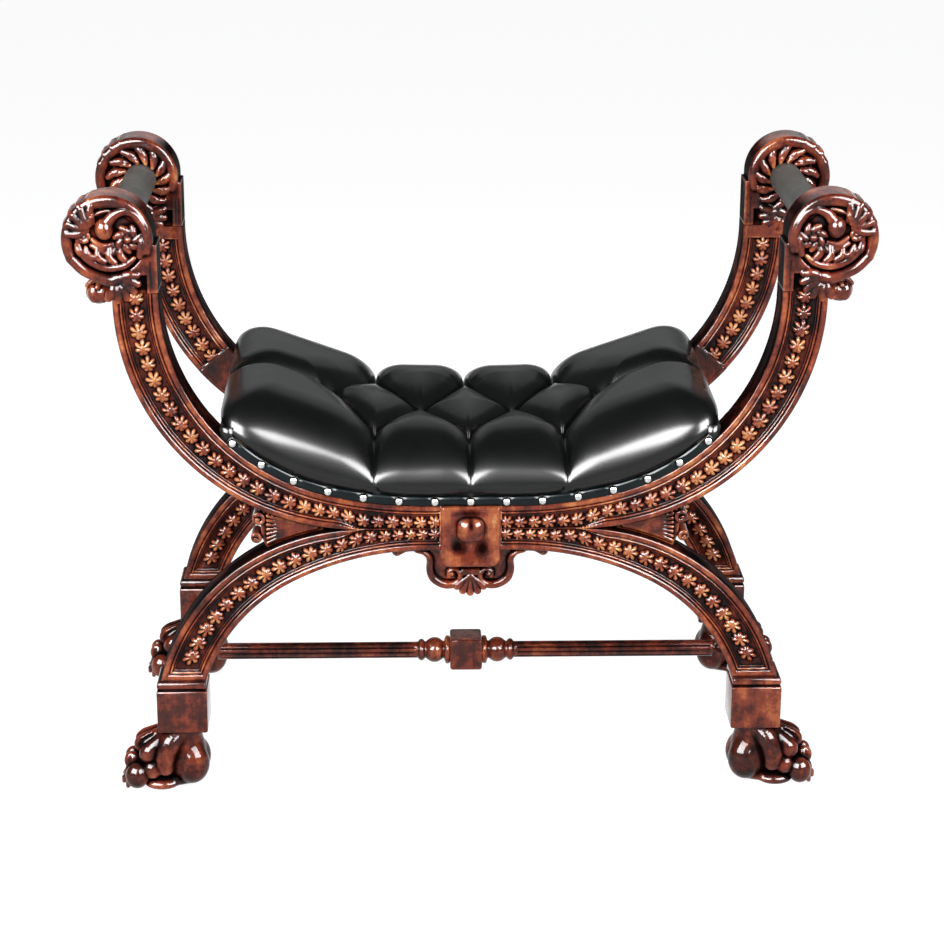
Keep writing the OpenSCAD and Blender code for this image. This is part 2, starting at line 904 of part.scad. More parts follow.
// The strip that lies on the arms' upper edge, from low to high above it
module edge_strip_2d(low, high) {
    for (side = [0, 1])
        mirror([side, 0])
            intersection() {
                difference() {
                    seat_void(-low);
                    seat_void(-high);
                }
                box_2d(0, 0, seat_half, arm_top_z);
            }
}

module seat_deck() {
    color("burlywood")
        slab(2 * deck_y)
            edge_strip_2d(curve_clearance, deck_t);
}

module trim_band() {
    color(LEATHER)
        translate([0, -member_t / 2 + band_t / 2, 0])
            slab(band_t)
                edge_strip_2d(curve_clearance, deck_t);
}

module trim_nails() {
    nail_r = nail_d / 2;
    cap_r = (nail_r * nail_r + nail_h * nail_h) / (2 * nail_h);
    color("silver")
        for (k = [-nail_pairs : nail_pairs])
            let (p = edge_point(abs(k) * nail_pitch, deck_t / 2))
                translate([sign(k) * p[0], -member_t / 2, p[1]])
                    rotate(ALONG_Y)
                        intersection() {
                            translate([0, 0, nail_h - cap_r])
                                sphere(cap_r, $fn = 32);
                            cylinder(r = nail_r + lap, h = nail_h + lap);
                        }
}

// Tufts: three in front, four in the middle, three behind
TUFTS = concat(
    [for (x = [-1 : 1], y = [-1, 1]) [x * tuft_pitch, y * tuft_row]],
    [for (x = [-1.5 : 1 : 1.5]) [x * tuft_pitch, 0]]
);
cushion_x = seat_half + bulge;
cushion_y = deck_y + bulge;
PLEATS = concat(
    [for (x = [-1 : 1], y = [-1, 1], side = [-0.5, 0.5])
        [[x * tuft_pitch, y * tuft_row], [(x + side) * tuft_pitch, 0]]],
    [for (x = [-1 : 1], y = [-1, 1]) [[x * tuft_pitch, y * tuft_row], [x * tuft_pitch, y * 2 * cushion_y]]],
    [for (side = [-1, 1]) [[side * 1.5 * tuft_pitch, 0], [side * 2 * cushion_x, 0]]]
);
function segment_gap(p, s) = let (d = s[1] - s[0], t = max(0, min(1, (p - s[0]) * d / (d * d))))
    norm(p - s[0] - t * d);
function pleat_gap(p) = min([for (s = PLEATS) segment_gap(p, s)]);
function tuft_gap(p) = min([for (t = TUFTS) norm(p - t)]);
function shoulder(t, sharpness) = sqrt(max(0, 1 - pow(abs(t), sharpness)));
function eased_x(x) = min(abs(x), seat_half - end_ease);
function crown(p) = cushion_h - cushion_end_loss * pow(abs(p[0]) / cushion_x, 2);
function pleat(p) = pleat_depth / (1 + pow(pleat_gap(p) / pleat_w, 2));
pit_w = 1.2 * pleat_w;
end_sharpness = 10;
side_sharpness = 6;
function pit(p) = (crown(p) - pleat_depth - tuft_floor) / (1 + pow(tuft_gap(p) / pit_w, 2));
function rounding(p) = shoulder(p[0] / cushion_x, end_sharpness) * shoulder(p[1] / cushion_y, side_sharpness);
function puff(p) = rim_h + (crown(p) - pleat(p) - pit(p) - rim_h) * rounding(p);
function cushion_top(p) = [p[0], p[1], edge_z(eased_x(p[0]), deck_t) + puff(p)];

// Grid lines that pass through the tufts and crowd together at the rim
function both_ways(h) = concat([for (k = [len(h) - 1 : -1 : 1]) -h[k]], h);
x_lines = both_ways(concat(
    [for (k = [0 : 12]) k * tuft_pitch / 8],
    [for (f = [0.22, 0.45, 0.67, 0.84, 0.95, 1]) 1.5 * tuft_pitch + f * (cushion_x - 1.5 * tuft_pitch)]
));
y_lines = both_ways(concat(
    [for (k = [0 : 4]) k * tuft_row / 4],
    [for (f = [0.25, 0.5, 0.74, 0.91, 1]) tuft_row + f * (cushion_y - tuft_row)]
));
nx = len(x_lines);
ny = len(y_lines);

// The rim's grid indices, once round
RIM = concat(
    [for (i = [0 : nx - 2]) [i, 0]],
    [for (j = [0 : ny - 2]) [nx - 1, j]],
    [for (i = [nx - 1 : -1 : 1]) [i, ny - 1]],
    [for (j = [ny - 1 : -1 : 1]) [0, j]]
);
n_rim = len(RIM);

// A point of the side wall under a rim point: f is 0 at the rim and 1 at the deck
function wall_point(r, f) = let (
    p = [x_lines[r[0]], y_lines[r[1]]],
    drawn = bulge * f * f + pleat_draw / (1 + pow(pleat_gap(p) / pleat_w, 2)) * (1 - f),
    x = p[0] * (1 - drawn / cushion_x),
    y = p[1] * (1 - drawn / cushion_y),
    low = edge_z(x, deck_t + 2 * curve_clearance),
    high = edge_z(eased_x(p[0]), deck_t) + rim_h)
    [x, y, low + (1 - f) * (high - low)];

module cushion_body() {
    walls = [0.5, 1];
    top_points = [for (j = [0 : ny - 1], i = [0 : nx - 1]) cushion_top([x_lines[i], y_lines[j]])];
    wall_points = [for (f = walls, r = RIM) wall_point(r, f)];
    n_top = nx * ny;
    bottom = n_top + n_rim;
    // Each cell is split along its lower diagonal, so that a fold runs along every pleat
    top_faces = [for (j = [0 : ny - 2], i = [0 : nx - 2]) each
        let (a = j * nx + i, b = a + 1, c = a + nx + 1, d = a + nx)
        top_points[a][2] + top_points[c][2] < top_points[b][2] + top_points[d][2]
            ? [[a, d, c], [a, c, b]]
            : [[a, d, b], [b, d, c]]];
    upper_faces = [for (k = [0 : n_rim - 1]) each
        let (m = (k + 1) % n_rim, a = rim_id(k), b = rim_id(m)) [[a, b, n_top + m], [a, n_top + m, n_top + k]]];
    lower_faces = [for (k = [0 : n_rim - 1]) each
        let (m = (k + 1) % n_rim, a = n_top + k, b = n_top + m) [[a, b, b + n_rim], [a, b + n_rim, a + n_rim]]];
    // The underside: strips from front to back, and a fan at each end
    strips = [for (i = [1 : nx - 3]) each
        let (a = bottom + i, d = bottom + back_id(i)) [[a, a + 1, d - 1], [a, d - 1, d]]];
    right = [for (j = [nx - 1 : nx + ny - 3]) [bottom + nx - 2, bottom + j, bottom + j + 1]];
    left = [for (j = [back_id(0) : n_rim - 1]) [bottom + 1, bottom + j, bottom + (j + 1) % n_rim]];
    ends = [
        [bottom + nx - 2, bottom + nx + ny - 2, bottom + back_id(nx - 2)],
        [bottom + 1, bottom + back_id(1), bottom + back_id(0)]
    ];
    polyhedron(
        points = concat(top_points, wall_points),
        faces = concat(top_faces, upper_faces, lower_faces, strips, right, left, ends),
        convexity = 6
    );
}
function rim_id(k) = RIM[k][1] * nx + RIM[k][0];
function back_id(i) = (nx - 1) + (ny - 1) + (nx - 1 - i);

button_room = 1;
button_sink = 1;
function button_seat(t) = cushion_top(t) - [0, 0, button_sink];

module seat_cushion() {
    color(LEATHER)
        difference() {
            cushion_body();
            for (t = TUFTS)
                translate(button_seat(t))
                    cylinder(r = button_r + button_room, h = cushion_h, $fn = 12);
        }
}

module tuft_buttons() {
    edge_h = 0.4 * button_h;
    dome = button_h - edge_h;
    cap_r = (button_r * button_r + dome * dome) / (2 * dome);
    color(LEATHER)
        for (t = TUFTS)
            translate(button_seat(t)) {
                cylinder(r = button_r, h = edge_h);
                translate([0, 0, edge_h])
                    intersection() {
                        translate([0, 0, dome - cap_r])
                            sphere(cap_r, $fn = 48);
                        cylinder(r = button_r, h = button_h);
                    }
            }
}

frame_end(FRONT) hub();  // hub_front
frame_end(REAR) hub();  // hub_rear
frame_end(FRONT) hub_boss();  // hub_boss_front
frame_end(REAR) hub_boss();  // hub_boss_rear
frame_end(FRONT) apron();  // apron_front
frame_end(REAR) apron();  // apron_rear
corner(FRONT, LEFT) arm();  // arm_front_left
corner(FRONT, RIGHT) arm();  // arm_front_right
corner(REAR, LEFT) arm();  // arm_rear_left
corner(REAR, RIGHT) arm();  // arm_rear_right
corner(FRONT, LEFT) leg();  // leg_front_left
corner(FRONT, RIGHT) leg();  // leg_front_right
corner(REAR, LEFT) leg();  // leg_rear_left
corner(REAR, RIGHT) leg();  // leg_rear_right
corner(FRONT, LEFT) spandrel();  // spandrel_front_left
corner(FRONT, RIGHT) spandrel();  // spandrel_front_right
corner(REAR, LEFT) spandrel();  // spandrel_rear_left
corner(REAR, RIGHT) spandrel();  // spandrel_rear_right
corner(FRONT, LEFT) scroll();  // scroll_front_left
corner(FRONT, RIGHT) scroll();  // scroll_front_right
corner(REAR, LEFT) scroll();  // scroll_rear_left
corner(REAR, RIGHT) scroll();  // scroll_rear_right
corner(FRONT, LEFT) bud();  // bud_front_left
corner(FRONT, RIGHT) bud();  // bud_front_right
corner(REAR, LEFT) bud();  // bud_rear_left
corner(REAR, RIGHT) bud();  // bud_rear_right
corner(FRONT, LEFT) foot_block();  // foot_block_front_left
corner(FRONT, RIGHT) foot_block();  // foot_block_front_right
corner(REAR, LEFT) foot_block();  // foot_block_rear_left
corner(REAR, RIGHT) foot_block();  // foot_block_rear_right
corner(FRONT, LEFT) paw();  // paw_front_left
corner(FRONT, RIGHT) paw();  // paw_front_right
corner(REAR, LEFT) paw();  // paw_rear_left
corner(REAR, RIGHT) paw();  // paw_rear_right
frame_end(FRONT) frame_dowels();  // frame_dowels_front
frame_end(REAR) frame_dowels();  // frame_dowels_rear
mirror([LEFT, 0, 0]) cross_stretcher();  // cross_stretcher_left
cross_stretcher();  // cross_stretcher_right
long_stretcher();
mirror([LEFT, 0, 0]) arm_rail_core();  // arm_rail_core_left
arm_rail_core();  // arm_rail_core_right
mirror([LEFT, 0, 0]) arm_rail_leather();  // arm_rail_leather_left
arm_rail_leather();  // arm_rail_leather_right
middle_bearer();  // seat_bearer_middle
mirror([LEFT, 0, 0]) bearer(bearer_angle, inner_face_y);  // seat_bearer_left
bearer(bearer_angle, inner_face_y);  // seat_bearer_right
mirror([LEFT, 0, 0]) bearer(end_bearer_angle, inner_face_y);  // seat_bearer_end_left
bearer(end_bearer_angle, inner_face_y);  // seat_bearer_end_right
seat_bearer_dowels();
seat_deck();
seat_cushion();
tuft_buttons();
frame_end(FRONT) trim_band();  // trim_band_front
frame_end(REAR) trim_band();  // trim_band_rear
frame_end(FRONT) trim_nails();  // trim_nails_front
frame_end(REAR) trim_nails();  // trim_nails_rear
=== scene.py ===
"""Upholstered X-frame bench: carved mahogany frames, button-tufted leather seat, leather arm rails.

The shapes are worked out in millimetres. X runs along the bench, Y from front to back, Z up.
Each frame piece is carved once, for the front right corner, and mirrored to its other places.
"""

import json
import math

import bpy
import numpy as np
import openvdb
from mathutils import Matrix, Vector


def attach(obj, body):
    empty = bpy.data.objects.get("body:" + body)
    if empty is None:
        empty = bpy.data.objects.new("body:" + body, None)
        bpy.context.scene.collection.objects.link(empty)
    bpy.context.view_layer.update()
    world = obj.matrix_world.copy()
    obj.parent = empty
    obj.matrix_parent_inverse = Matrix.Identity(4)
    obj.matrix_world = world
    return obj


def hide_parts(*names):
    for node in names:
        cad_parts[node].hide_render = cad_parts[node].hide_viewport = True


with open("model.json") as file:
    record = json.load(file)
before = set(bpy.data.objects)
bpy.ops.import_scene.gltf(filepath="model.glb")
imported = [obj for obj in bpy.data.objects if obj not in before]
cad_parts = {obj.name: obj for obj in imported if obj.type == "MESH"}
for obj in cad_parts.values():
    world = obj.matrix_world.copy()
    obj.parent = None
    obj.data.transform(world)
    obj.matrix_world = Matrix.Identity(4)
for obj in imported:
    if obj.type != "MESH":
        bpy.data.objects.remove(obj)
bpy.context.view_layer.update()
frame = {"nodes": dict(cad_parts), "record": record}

MM = 0.001
rng = np.random.default_rng(7)

# Places of the frame: a frame's middle plane, where arms meet legs, and half a member's thickness
FRAME_Y = 192.5
CROSS_Z = 376.5
MEMBER_HALF = 26.0
HUB_SIDE = 39.0
HUB_CORNER_X, HUB_CORNER_Z, HUB_CORNER_R = 26, 337.8, 13
SCROLL_X, SCROLL_Z = 465.0, 769.0
ARM_TOP = 700.0
BLOCK_TOP = 162.0
BLOCK_X = 390.0
ENDS = {"front": 0, "rear": 1}
SIDES = {"right": 0, "left": 1}
WOOD_SLOT = "carved_mahogany"


def circle_gap(x, z, middle_x, middle_z, radius):
    """Distance outside a circle in the plane of the frame."""
    return np.hypot(x - middle_x, z - middle_z) - radius


def low_corner_gap(x, z, half, level, radius):
    """Distance outside a form that is straight to half, with round corners below level."""
    return np.hypot(np.maximum(np.abs(x) - half, 0), np.minimum(z - level, 0)) - radius


# The arm's outer edge: level, then an arc, then upright
ARM_X, ARM_Z, ARM_R = 147.5, 690.5, 314.0
ARM_OUT = ARM_X + ARM_R


def arm_edge_gap(x, z):
    round_gap = -circle_gap(x, z, ARM_X, ARM_Z, ARM_R)
    return np.where(x < ARM_X, z - CROSS_Z, np.where(z < ARM_Z, round_gap, ARM_OUT - x))


# The arm's upper edge, which carries the seat: level, two arcs, upright
SEAT_X, SEAT_Z, SEAT_R = 58.23, 969.0, 560.0
SEAT_SIDE_X, SEAT_SIDE_Z, SEAT_SIDE_R = 125.5, 694.11, 277.0
SEAT_TURN = math.radians(13.75)
SEAT_LOW = SEAT_Z - SEAT_R


def seat_edge_gap(x, z):
    middle = circle_gap(x, z, SEAT_X, SEAT_Z, SEAT_R)
    side = circle_gap(x, z, SEAT_SIDE_X, SEAT_SIDE_Z, SEAT_SIDE_R)
    upright = x - SEAT_SIDE_X - SEAT_SIDE_R
    turned = np.arctan2(x - SEAT_X, np.maximum(SEAT_Z - z, 1e-6)) < SEAT_TURN
    curved = np.where(turned, middle, np.where(z < SEAT_SIDE_Z, side, upright))
    return np.where(x < SEAT_X, SEAT_LOW - z, curved)


# The leg's outer edge: level, then an arc
LEG_X, LEG_Z, LEG_R = 144.48, 95.5, 281.0


def leg_edge_gap(x, z):
    return np.where(x < LEG_X, CROSS_Z - z, -circle_gap(x, z, LEG_X, LEG_Z, LEG_R))


# The arch under the legs: level, then two arcs
ARCH_X, ARCH_Z, ARCH_R = 58.89, -40.2, 387.0
ARCH_SIDE_X, ARCH_SIDE_Z, ARCH_SIDE_R = 123.17, 85.97, 245.4
ARCH_TURN = math.radians(27)


def arch_crown_gap(x, z):
    return np.where(x < ARCH_X, z - ARCH_Z - ARCH_R, circle_gap(x, z, ARCH_X, ARCH_Z, ARCH_R))


def arch_edge_gap(x, z):
    side = circle_gap(x, z, ARCH_SIDE_X, ARCH_SIDE_Z, ARCH_SIDE_R)
    turned = np.arctan2(x - ARCH_X, z - ARCH_Z) < ARCH_TURN
    return np.where(turned, arch_crown_gap(x, z), side)


def smooth_step(low, high, value):
    t = np.clip((value - low) / (high - low), 0, 1)
    return t * t * (3 - 2 * t)


# Making meshes
def add_object(name, data):
    made = bpy.data.objects.new(name, data)
    bpy.context.scene.collection.objects.link(made)
    return made


def make_mesh(name, points, faces, material, tone=None, smooth=True):
    """A mesh piece from millimetre points; tone is 0 in a recess, painted as shade, and 1 on a crest,
    painted as wear and highlight.
    """
    mesh = bpy.data.meshes.new(name)
    mesh.from_pydata((np.asarray(points) * MM).tolist(), [], faces)
    if tone is not None:
        layer = mesh.attributes.new("tone", "FLOAT", "POINT")
        layer.data.foreach_set("value", np.asarray(tone, np.float32))
    mesh.materials.append(material)
    mesh.polygons.foreach_set("use_smooth", [smooth] * len(mesh.polygons))
    mesh.update()
    return add_object(name, mesh)


def keep(piece, slot, *nodes):
    """Rides on the one body and stands for its CAD nodes; the slot is not used."""
    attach(piece, "root")
    if nodes:
        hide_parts(*nodes)
    return piece


def to_corner(points, faces, behind, left):
    """Moves a front right piece, drawn about the frame's middle plane, to its corner."""
    placed = np.array(points, float)
    placed[:, 0] *= -1 if left else 1
    placed[:, 1] -= FRAME_Y
    placed[:, 1] *= -1 if behind else 1
    turned = [f[::-1] for f in faces] if behind != left else faces
    return placed, turned


def place_carved(node, points, faces, tone, wood):
    keep(make_mesh(f"carved_{node}", points, faces, wood, tone), WOOD_SLOT, node)


def place_corners(kind, points, faces, tone, wood):
    """A copy at each corner of the bench."""
    for end, behind in ENDS.items():
        for side, left in SIDES.items():
            place_carved(f"{kind}_{end}_{side}", *to_corner(points, faces, behind, left), tone, wood)


def place_ends(kind, points, faces, tone, wood):
    """A copy on the middle of each frame."""
    for end, behind in ENDS.items():
        place_carved(f"{kind}_{end}", *to_corner(points, faces, behind, 0), tone, wood)


def blur(field, axis, reach):
    """Mean over reach cells to each side along an axis."""
    pad = [(0, 0)] * field.ndim
    pad[axis] = (reach + 1, reach)
    total = np.cumsum(np.pad(field, pad, mode="edge"), axis=axis, dtype=np.float64)
    size = field.shape[axis]
    high = np.take(total, np.arange(2 * reach + 1, 2 * reach + 1 + size), axis=axis)
    low = np.take(total, np.arange(0, size), axis=axis)
    return ((high - low) / (2 * reach + 1)).astype(np.float32)


# The mouldings along a member's edges, as distance from the edge and depth, down to the sunk floor
MOULDING_END = 14.6
FLOOR_DEPTH = -5.0
MOULDING = [
    (0, -1.7), (0.4, -0.9), (1.0, -0.4), (2.2, -0.05), (4.0, 0), (5.8, -0.35), (7.2, -1.2), (8.0, -2.7),
    (8.6, -2.9), (9.2, -1.7), (10.0, -1.0), (11.0, -1.2), (11.8, -3.2), (12.5, -3.9), (13.3, -3.0),
    (13.9, -3.5), (MOULDING_END, FLOOR_DEPTH),
]
MOULDING_AT, MOULDING_DEPTH = zip(*MOULDING)

# Where a face has points: at these distances from each edge, and evenly over the floor
STATIONS = [
    0, 0.35, 0.9, 1.8, 3, 4.2, 5.4, 6.6, 7.4, 8.0, 8.6, 9.2,
    9.9, 10.7, 11.4, 12.1, 12.8, 13.4, 14, MOULDING_END,
]
INNER_STATIONS = 30
ROW_STEP = 1.1

# The floor starts past a strip beside the hub; near the hub, arm and leg share one moulding
HUB_STRIP = 3.0
SHARED_TO, APART_FROM = 140, 182
SHARED_LOSS = 0.97

# Each leaf of the chain has broad round fingers, longer and cut deeper away from the hub
LEAF_PITCH = 20.8
FINGERS = 7
LEAF_REACH, NOTCH, LEAF_RISE = 10.3, 0.26, 6.6
LEAF_TURN, LEAF_GROW = 0.16, 0.035


def chain_leaf(u, v):
    """One fleshy leaf of the chain; u runs towards the hub. Height above the floor."""
    away = np.hypot(u, v)
    facing = np.arctan2(v, -u)
    step = 2 * math.pi / FINGERS
    aside = np.abs((facing + step / 2) % step - step / 2) / (step / 2)
    rear = 0.5 + 0.5 * np.cos(facing)
    outline = LEAF_REACH * (0.9 + 0.34 * rear**2) * (1 - NOTCH * (0.4 + 0.6 * rear) * aside**2.6)
    groove = (0.12 + 0.62 * rear) * aside**1.8 * smooth_step(1.5, 5.5, away)
    dome = np.sqrt(np.maximum(1 - groove - (away / outline) ** 2.5, 0))
    return LEAF_RISE * dome * (1 + 0.16 * rear * smooth_step(3.0, 8.0, away))


def chain_relief(along, across, scale, low, high):
    """Leaf after leaf along a panel, from low to high along its middle line."""
    relief = np.zeros_like(along)
    row_at = along.mean(axis=1)
    row_scale = scale.mean(axis=1)
    at = low
    while at < high:
        size = float(np.interp(at, row_at, row_scale))
        turn = rng.normal(0, LEAF_TURN)
        grow = size * (1 + rng.normal(0, LEAF_GROW))
        near = np.abs(row_at - at) < 15
        u = -(along[near] - at) / grow
        v = across[near] / grow
        u, v = u * math.cos(turn) - v * math.sin(turn), v * math.cos(turn) + u * math.sin(turn)
        leaf = chain_leaf(u, v) * min(1, 0.3 + 0.7 * size)
        relief[near] = np.maximum(relief[near], leaf)
        at += LEAF_PITCH * size
    return relief


def member_grid(edge, way, edge_gap, far_gap):
    """Points of a carved face: rows from the outer edge to the inner one, one row per edge point."""
    rows = len(edge)
    reach = np.full(rows, 40.0)
    for _ in range(12):
        reach += far_gap(edge[:, 0] + reach * way[:, 0], edge[:, 1] + reach * way[:, 1])
    stations = np.array(STATIONS)
    near = np.repeat(stations[None], rows, 0)
    away = reach[:, None] - near
    for _ in range(4):
        near += stations - edge_gap(edge[:, :1] + near * way[:, :1], edge[:, 1:] + near * way[:, 1:])
        away += far_gap(edge[:, :1] + away * way[:, :1], edge[:, 1:] + away * way[:, 1:]) - stations
    inner = np.linspace(0, 1, INNER_STATIONS + 2)[1:-1]
    middle = near[:, -1:] + (away[:, -1:] - near[:, -1:]) * inner
    step = np.concatenate([near, middle, away[:, ::-1]], axis=1)
    step[:, 0] = 0
    step[:, -1] = reach
    return edge[:, :1] + step * way[:, :1], edge[:, 1:] + step * way[:, 1:]


def moulded(low, high):
    """Depth of the mouldings along both edges and of the sunk floor between them."""
    outer = np.interp(low, MOULDING_AT, MOULDING_DEPTH)
    inner = np.interp(high, MOULDING_AT, MOULDING_DEPTH)
    return np.where(low < high, outer, inner)


def carved_face(x, z, edge_gap, far_gap, stop, first, last):
    """Depth of a face with its mouldings, sunk panel and chain of leaves.

    The panel ends where stop is 0. The leaves run from first past the hub to last before the end.
    """
    low = edge_gap(x, z)
    high = far_gap(x, z)
    merged = smooth_step(APART_FROM, SHARED_TO, x)
    kept = 1 - SHARED_LOSS * merged
    ends = np.minimum(stop(x, z), (x - HUB_SIDE) * MOULDING_END / HUB_STRIP)
    low_at = low / kept
    high_at = np.minimum(high, np.maximum(ends, 0.3))
    depth = moulded(low_at, high_at)
    start = MOULDING_END * kept
    half = (low + high - MOULDING_END - start) / 2
    across = low - start - half
    middle = len(STATIONS) + INNER_STATIONS // 2
    steps = np.hypot(np.diff(x[:, middle]), np.diff(z[:, middle]))
    along = np.repeat(np.concatenate([[0], np.cumsum(steps)])[:, None], x.shape[1], 1)
    scale = np.clip((half + 2.2) / 10.6, 0.6, 1.08) * (1 - 0.14 * merged)
    leaves = chain_relief(along, across, scale, first, along.max() - last)
    room = smooth_step(10.4, 12.6, np.minimum(low_at, high_at))
    return np.maximum(depth, FLOOR_DEPTH + (leaves - 0.5 * (1 - room)) * room)


# A face's tone: its own value, and what crests, swells and height add; the open floor is lifted
# Dark hollows are painted shade; light crests are wear and painted highlight
FACE_TONE = 0.69
CREST_GAIN, SWELL_GAIN, HEIGHT_GAIN = 0.3, 0.085, 0.065
FLOOR_LIFT = 0.11


def face_tone(depth):
    """How light a face is, as wear and painted highlight and shade: its height beside what is round it, and
    above the sunk floor.
    """
    field = depth.astype(np.float32)
    near = blur(blur(field, 0, 1), 1, 1)
    wide = blur(blur(field, 0, 4), 1, 3)
    crests = CREST_GAIN * (depth - near)
    swells = SWELL_GAIN * (depth - wide)
    wear_and_painted_light = FACE_TONE + crests + swells + HEIGHT_GAIN * np.maximum(depth, FLOOR_DEPTH)
    return np.clip(wear_and_painted_light + FLOOR_LIFT * smooth_step(-4.4, -4.95, depth), 0, 1)


# A member's sides are flat, with a scratched line near each face
SIDE_LEVELS = np.array([-24, -19.8, -19.2, -18.6, -8, 8, 18.6, 19.2, 19.8, 24.0])
SIDE_GROOVES = np.array([0, 0, 0.9, 0, 0, 0, 0, 0.9, 0, 0])
SIDE_TONE = 0.3


def inward(x, z, first, second):
    """Unit vectors in a row's plane from its first point to its second."""
    way = np.stack([x[:, second] - x[:, first], z[:, second] - z[:, first]], -1)
    return way / np.linalg.norm(way, axis=1)[:, None]


def side_loop(x, z, first, second):
    """Points of a member's side, under the face's edge point first and away from second."""
    way = inward(x, z, first, second)
    px = x[:, first][:, None] + way[:, :1] * SIDE_GROOVES
    pz = z[:, first][:, None] + way[:, 1:] * SIDE_GROOVES
    return np.stack([px, np.repeat(SIDE_LEVELS[None], len(x), 0), pz], -1)


def cap_faces(front_row, back_row, front_side, back_side):
    """Faces that close one end of a member."""
    faces = [[a, b, c, d] for a, b, c, d in zip(front_row[:-1], front_row[1:], back_row[1:], back_row[:-1])]
    for strip in (front_side, back_side):
        faces += [[strip[0], strip[k], strip[k + 1]] for k in range(1, len(strip) - 1)]
    return faces


def member_mesh(x, z, front, back):
    """A closed tube of rows: front face, inner side, back face, outer side."""
    rows, across = x.shape
    front_loop = np.stack([x, -MEMBER_HALF - front, z], -1)
    back_loop = np.stack([x, MEMBER_HALF + back, z], -1)[:, ::-1]
    inner_loop = side_loop(x, z, -1, -2)
    outer_loop = side_loop(x, z, 0, 1)[:, ::-1]
    ring = np.concatenate([front_loop, inner_loop, back_loop, outer_loop], axis=1)
    plain = np.full((rows, len(SIDE_LEVELS)), SIDE_TONE)
    tone = np.concatenate([face_tone(front), plain, face_tone(back)[:, ::-1], plain], axis=1)
    index = np.arange(ring.shape[0] * ring.shape[1]).reshape(ring.shape[:2])
    ahead = np.roll(index, -1, axis=1)
    faces = np.stack([index[:-1], index[1:], ahead[1:], ahead[:-1]], -1).reshape(-1, 4).tolist()
    back_start = across + len(SIDE_LEVELS)
    back_end = back_start + across
    for row in (0, rows - 1):
        ids = index[row]
        back_row = ids[back_start:back_end][::-1]
        inner_side = ids[across - 1 : back_start + 1]
        outer_side = np.append(ids[back_end - 1 :], ids[0])
        cap = cap_faces(ids[:across].tolist(), back_row.tolist(), inner_side.tolist(), outer_side.tolist())
        faces += [f[::-1] for f in cap] if row == 0 else cap
    return ring.reshape(-1, 3), faces, tone.ravel()


def arm_edge_rows(step):
    """Points along the arm's outer edge, each with the way across the arm."""
    points, ways = [], []
    for x in np.linspace(HUB_SIDE, ARM_X, int((ARM_X - HUB_SIDE) / step) + 1)[:-1]:
        points.append((x, CROSS_Z))
        ways.append((0, 1))
    for a in np.linspace(0, math.pi / 2, int(ARM_R * math.pi / 2 / step) + 1):
        points.append((ARM_X + ARM_R * math.sin(a), ARM_Z - ARM_R * math.cos(a)))
        ways.append((-math.sin(a), math.cos(a)))
    for z in np.linspace(ARM_Z, ARM_TOP, 8)[1:]:
        points.append((ARM_OUT, z))
        ways.append((-1, 0))
    return np.array(points, float), np.array(ways, float)


def leg_edge_rows(step):
    """Points along the leg's outer edge, each with the way across the leg."""
    points, ways = [], []
    for x in np.linspace(HUB_SIDE, LEG_X, int((LEG_X - HUB_SIDE) / step) + 1)[:-1]:
        points.append((x, CROSS_Z))
        ways.append((0, -1))
    foot = math.asin((BLOCK_TOP - LEG_Z) / LEG_R)
    for a in np.linspace(math.pi / 2, foot, int(LEG_R * (math.pi / 2 - foot) / step) + 1):
        points.append((LEG_X + LEG_R * math.cos(a), LEG_Z + LEG_R * math.sin(a)))
        turned = a - foot * smooth_step(foot + 0.9, foot, a)
        ways.append((-math.cos(turned), -math.sin(turned)))
    return np.array(points, float), np.array(ways, float)


# The arm's face towards the seat is plain below and above these heights
PLAIN_BELOW, PLAIN_ABOVE = 486.0, 682.0
PLAIN_SHADE = 0.12
PLAIN_GROOVE = -0.35


def open_top(x, z):
    """The arm's panel runs on under the scroll, so it has no end there."""
    return np.full_like(x, 40.0)


def above_block(x, z):
    return z - BLOCK_TOP


def make_arms(wood):
    """The face towards the seat is plain up to a joint square to the arm, and at its top."""
    edge, way = arm_edge_rows(ROW_STEP)
    x, z = member_grid(edge, way, arm_edge_gap, seat_edge_gap)
    face = carved_face(x, z, arm_edge_gap, seat_edge_gap, open_top, 8, 6)
    joint = math.acos((ARM_Z - PLAIN_BELOW) / ARM_R)
    past = ARM_R * (np.arctan2(x - ARM_X, ARM_Z - z) - joint)
    carved = smooth_step(-1, 1, past) * smooth_step(PLAIN_ABOVE, PLAIN_ABOVE - 2, z)
    grooves = moulded(arm_edge_gap(x, z), np.maximum(seat_edge_gap(x, z), 0))
    plain = np.maximum(grooves, PLAIN_GROOVE)
    back = plain + (face - plain) * carved - 0.8 * np.exp(-((past + 1.5) ** 2))
    points, faces, tone = member_mesh(x, z, face, back)
    turned = ARM_R * (np.arctan2(points[:, 0] - ARM_X, ARM_Z - points[:, 2]) - joint)
    tone = tone - PLAIN_SHADE * (points[:, 1] > MEMBER_HALF - 1.5) * (turned < -2)
    place_corners("arm", *outward(points, faces), tone, wood)


def make_legs(wood):
    edge, way = leg_edge_rows(ROW_STEP)
    x, z = member_grid(edge, way, leg_edge_gap, arch_edge_gap)
    face = carved_face(x, z, leg_edge_gap, arch_edge_gap, above_block, 8, 18)
    points, faces, tone = member_mesh(x, z, face, face)
    place_corners("leg", *outward(points, faces), tone, wood)


# Clay: solids built up from rounded strokes, as signed distances on a grid, negative inside
CLAY_FAR = 5.0
# The clay's tone: dark in recesses as painted shade, light on crests as wear and painted highlight
CLAY_TONE, CREST_WEAR_AND_HIGHLIGHT_GAIN, RECESS_GAIN = 0.62, 1.1, 2.4


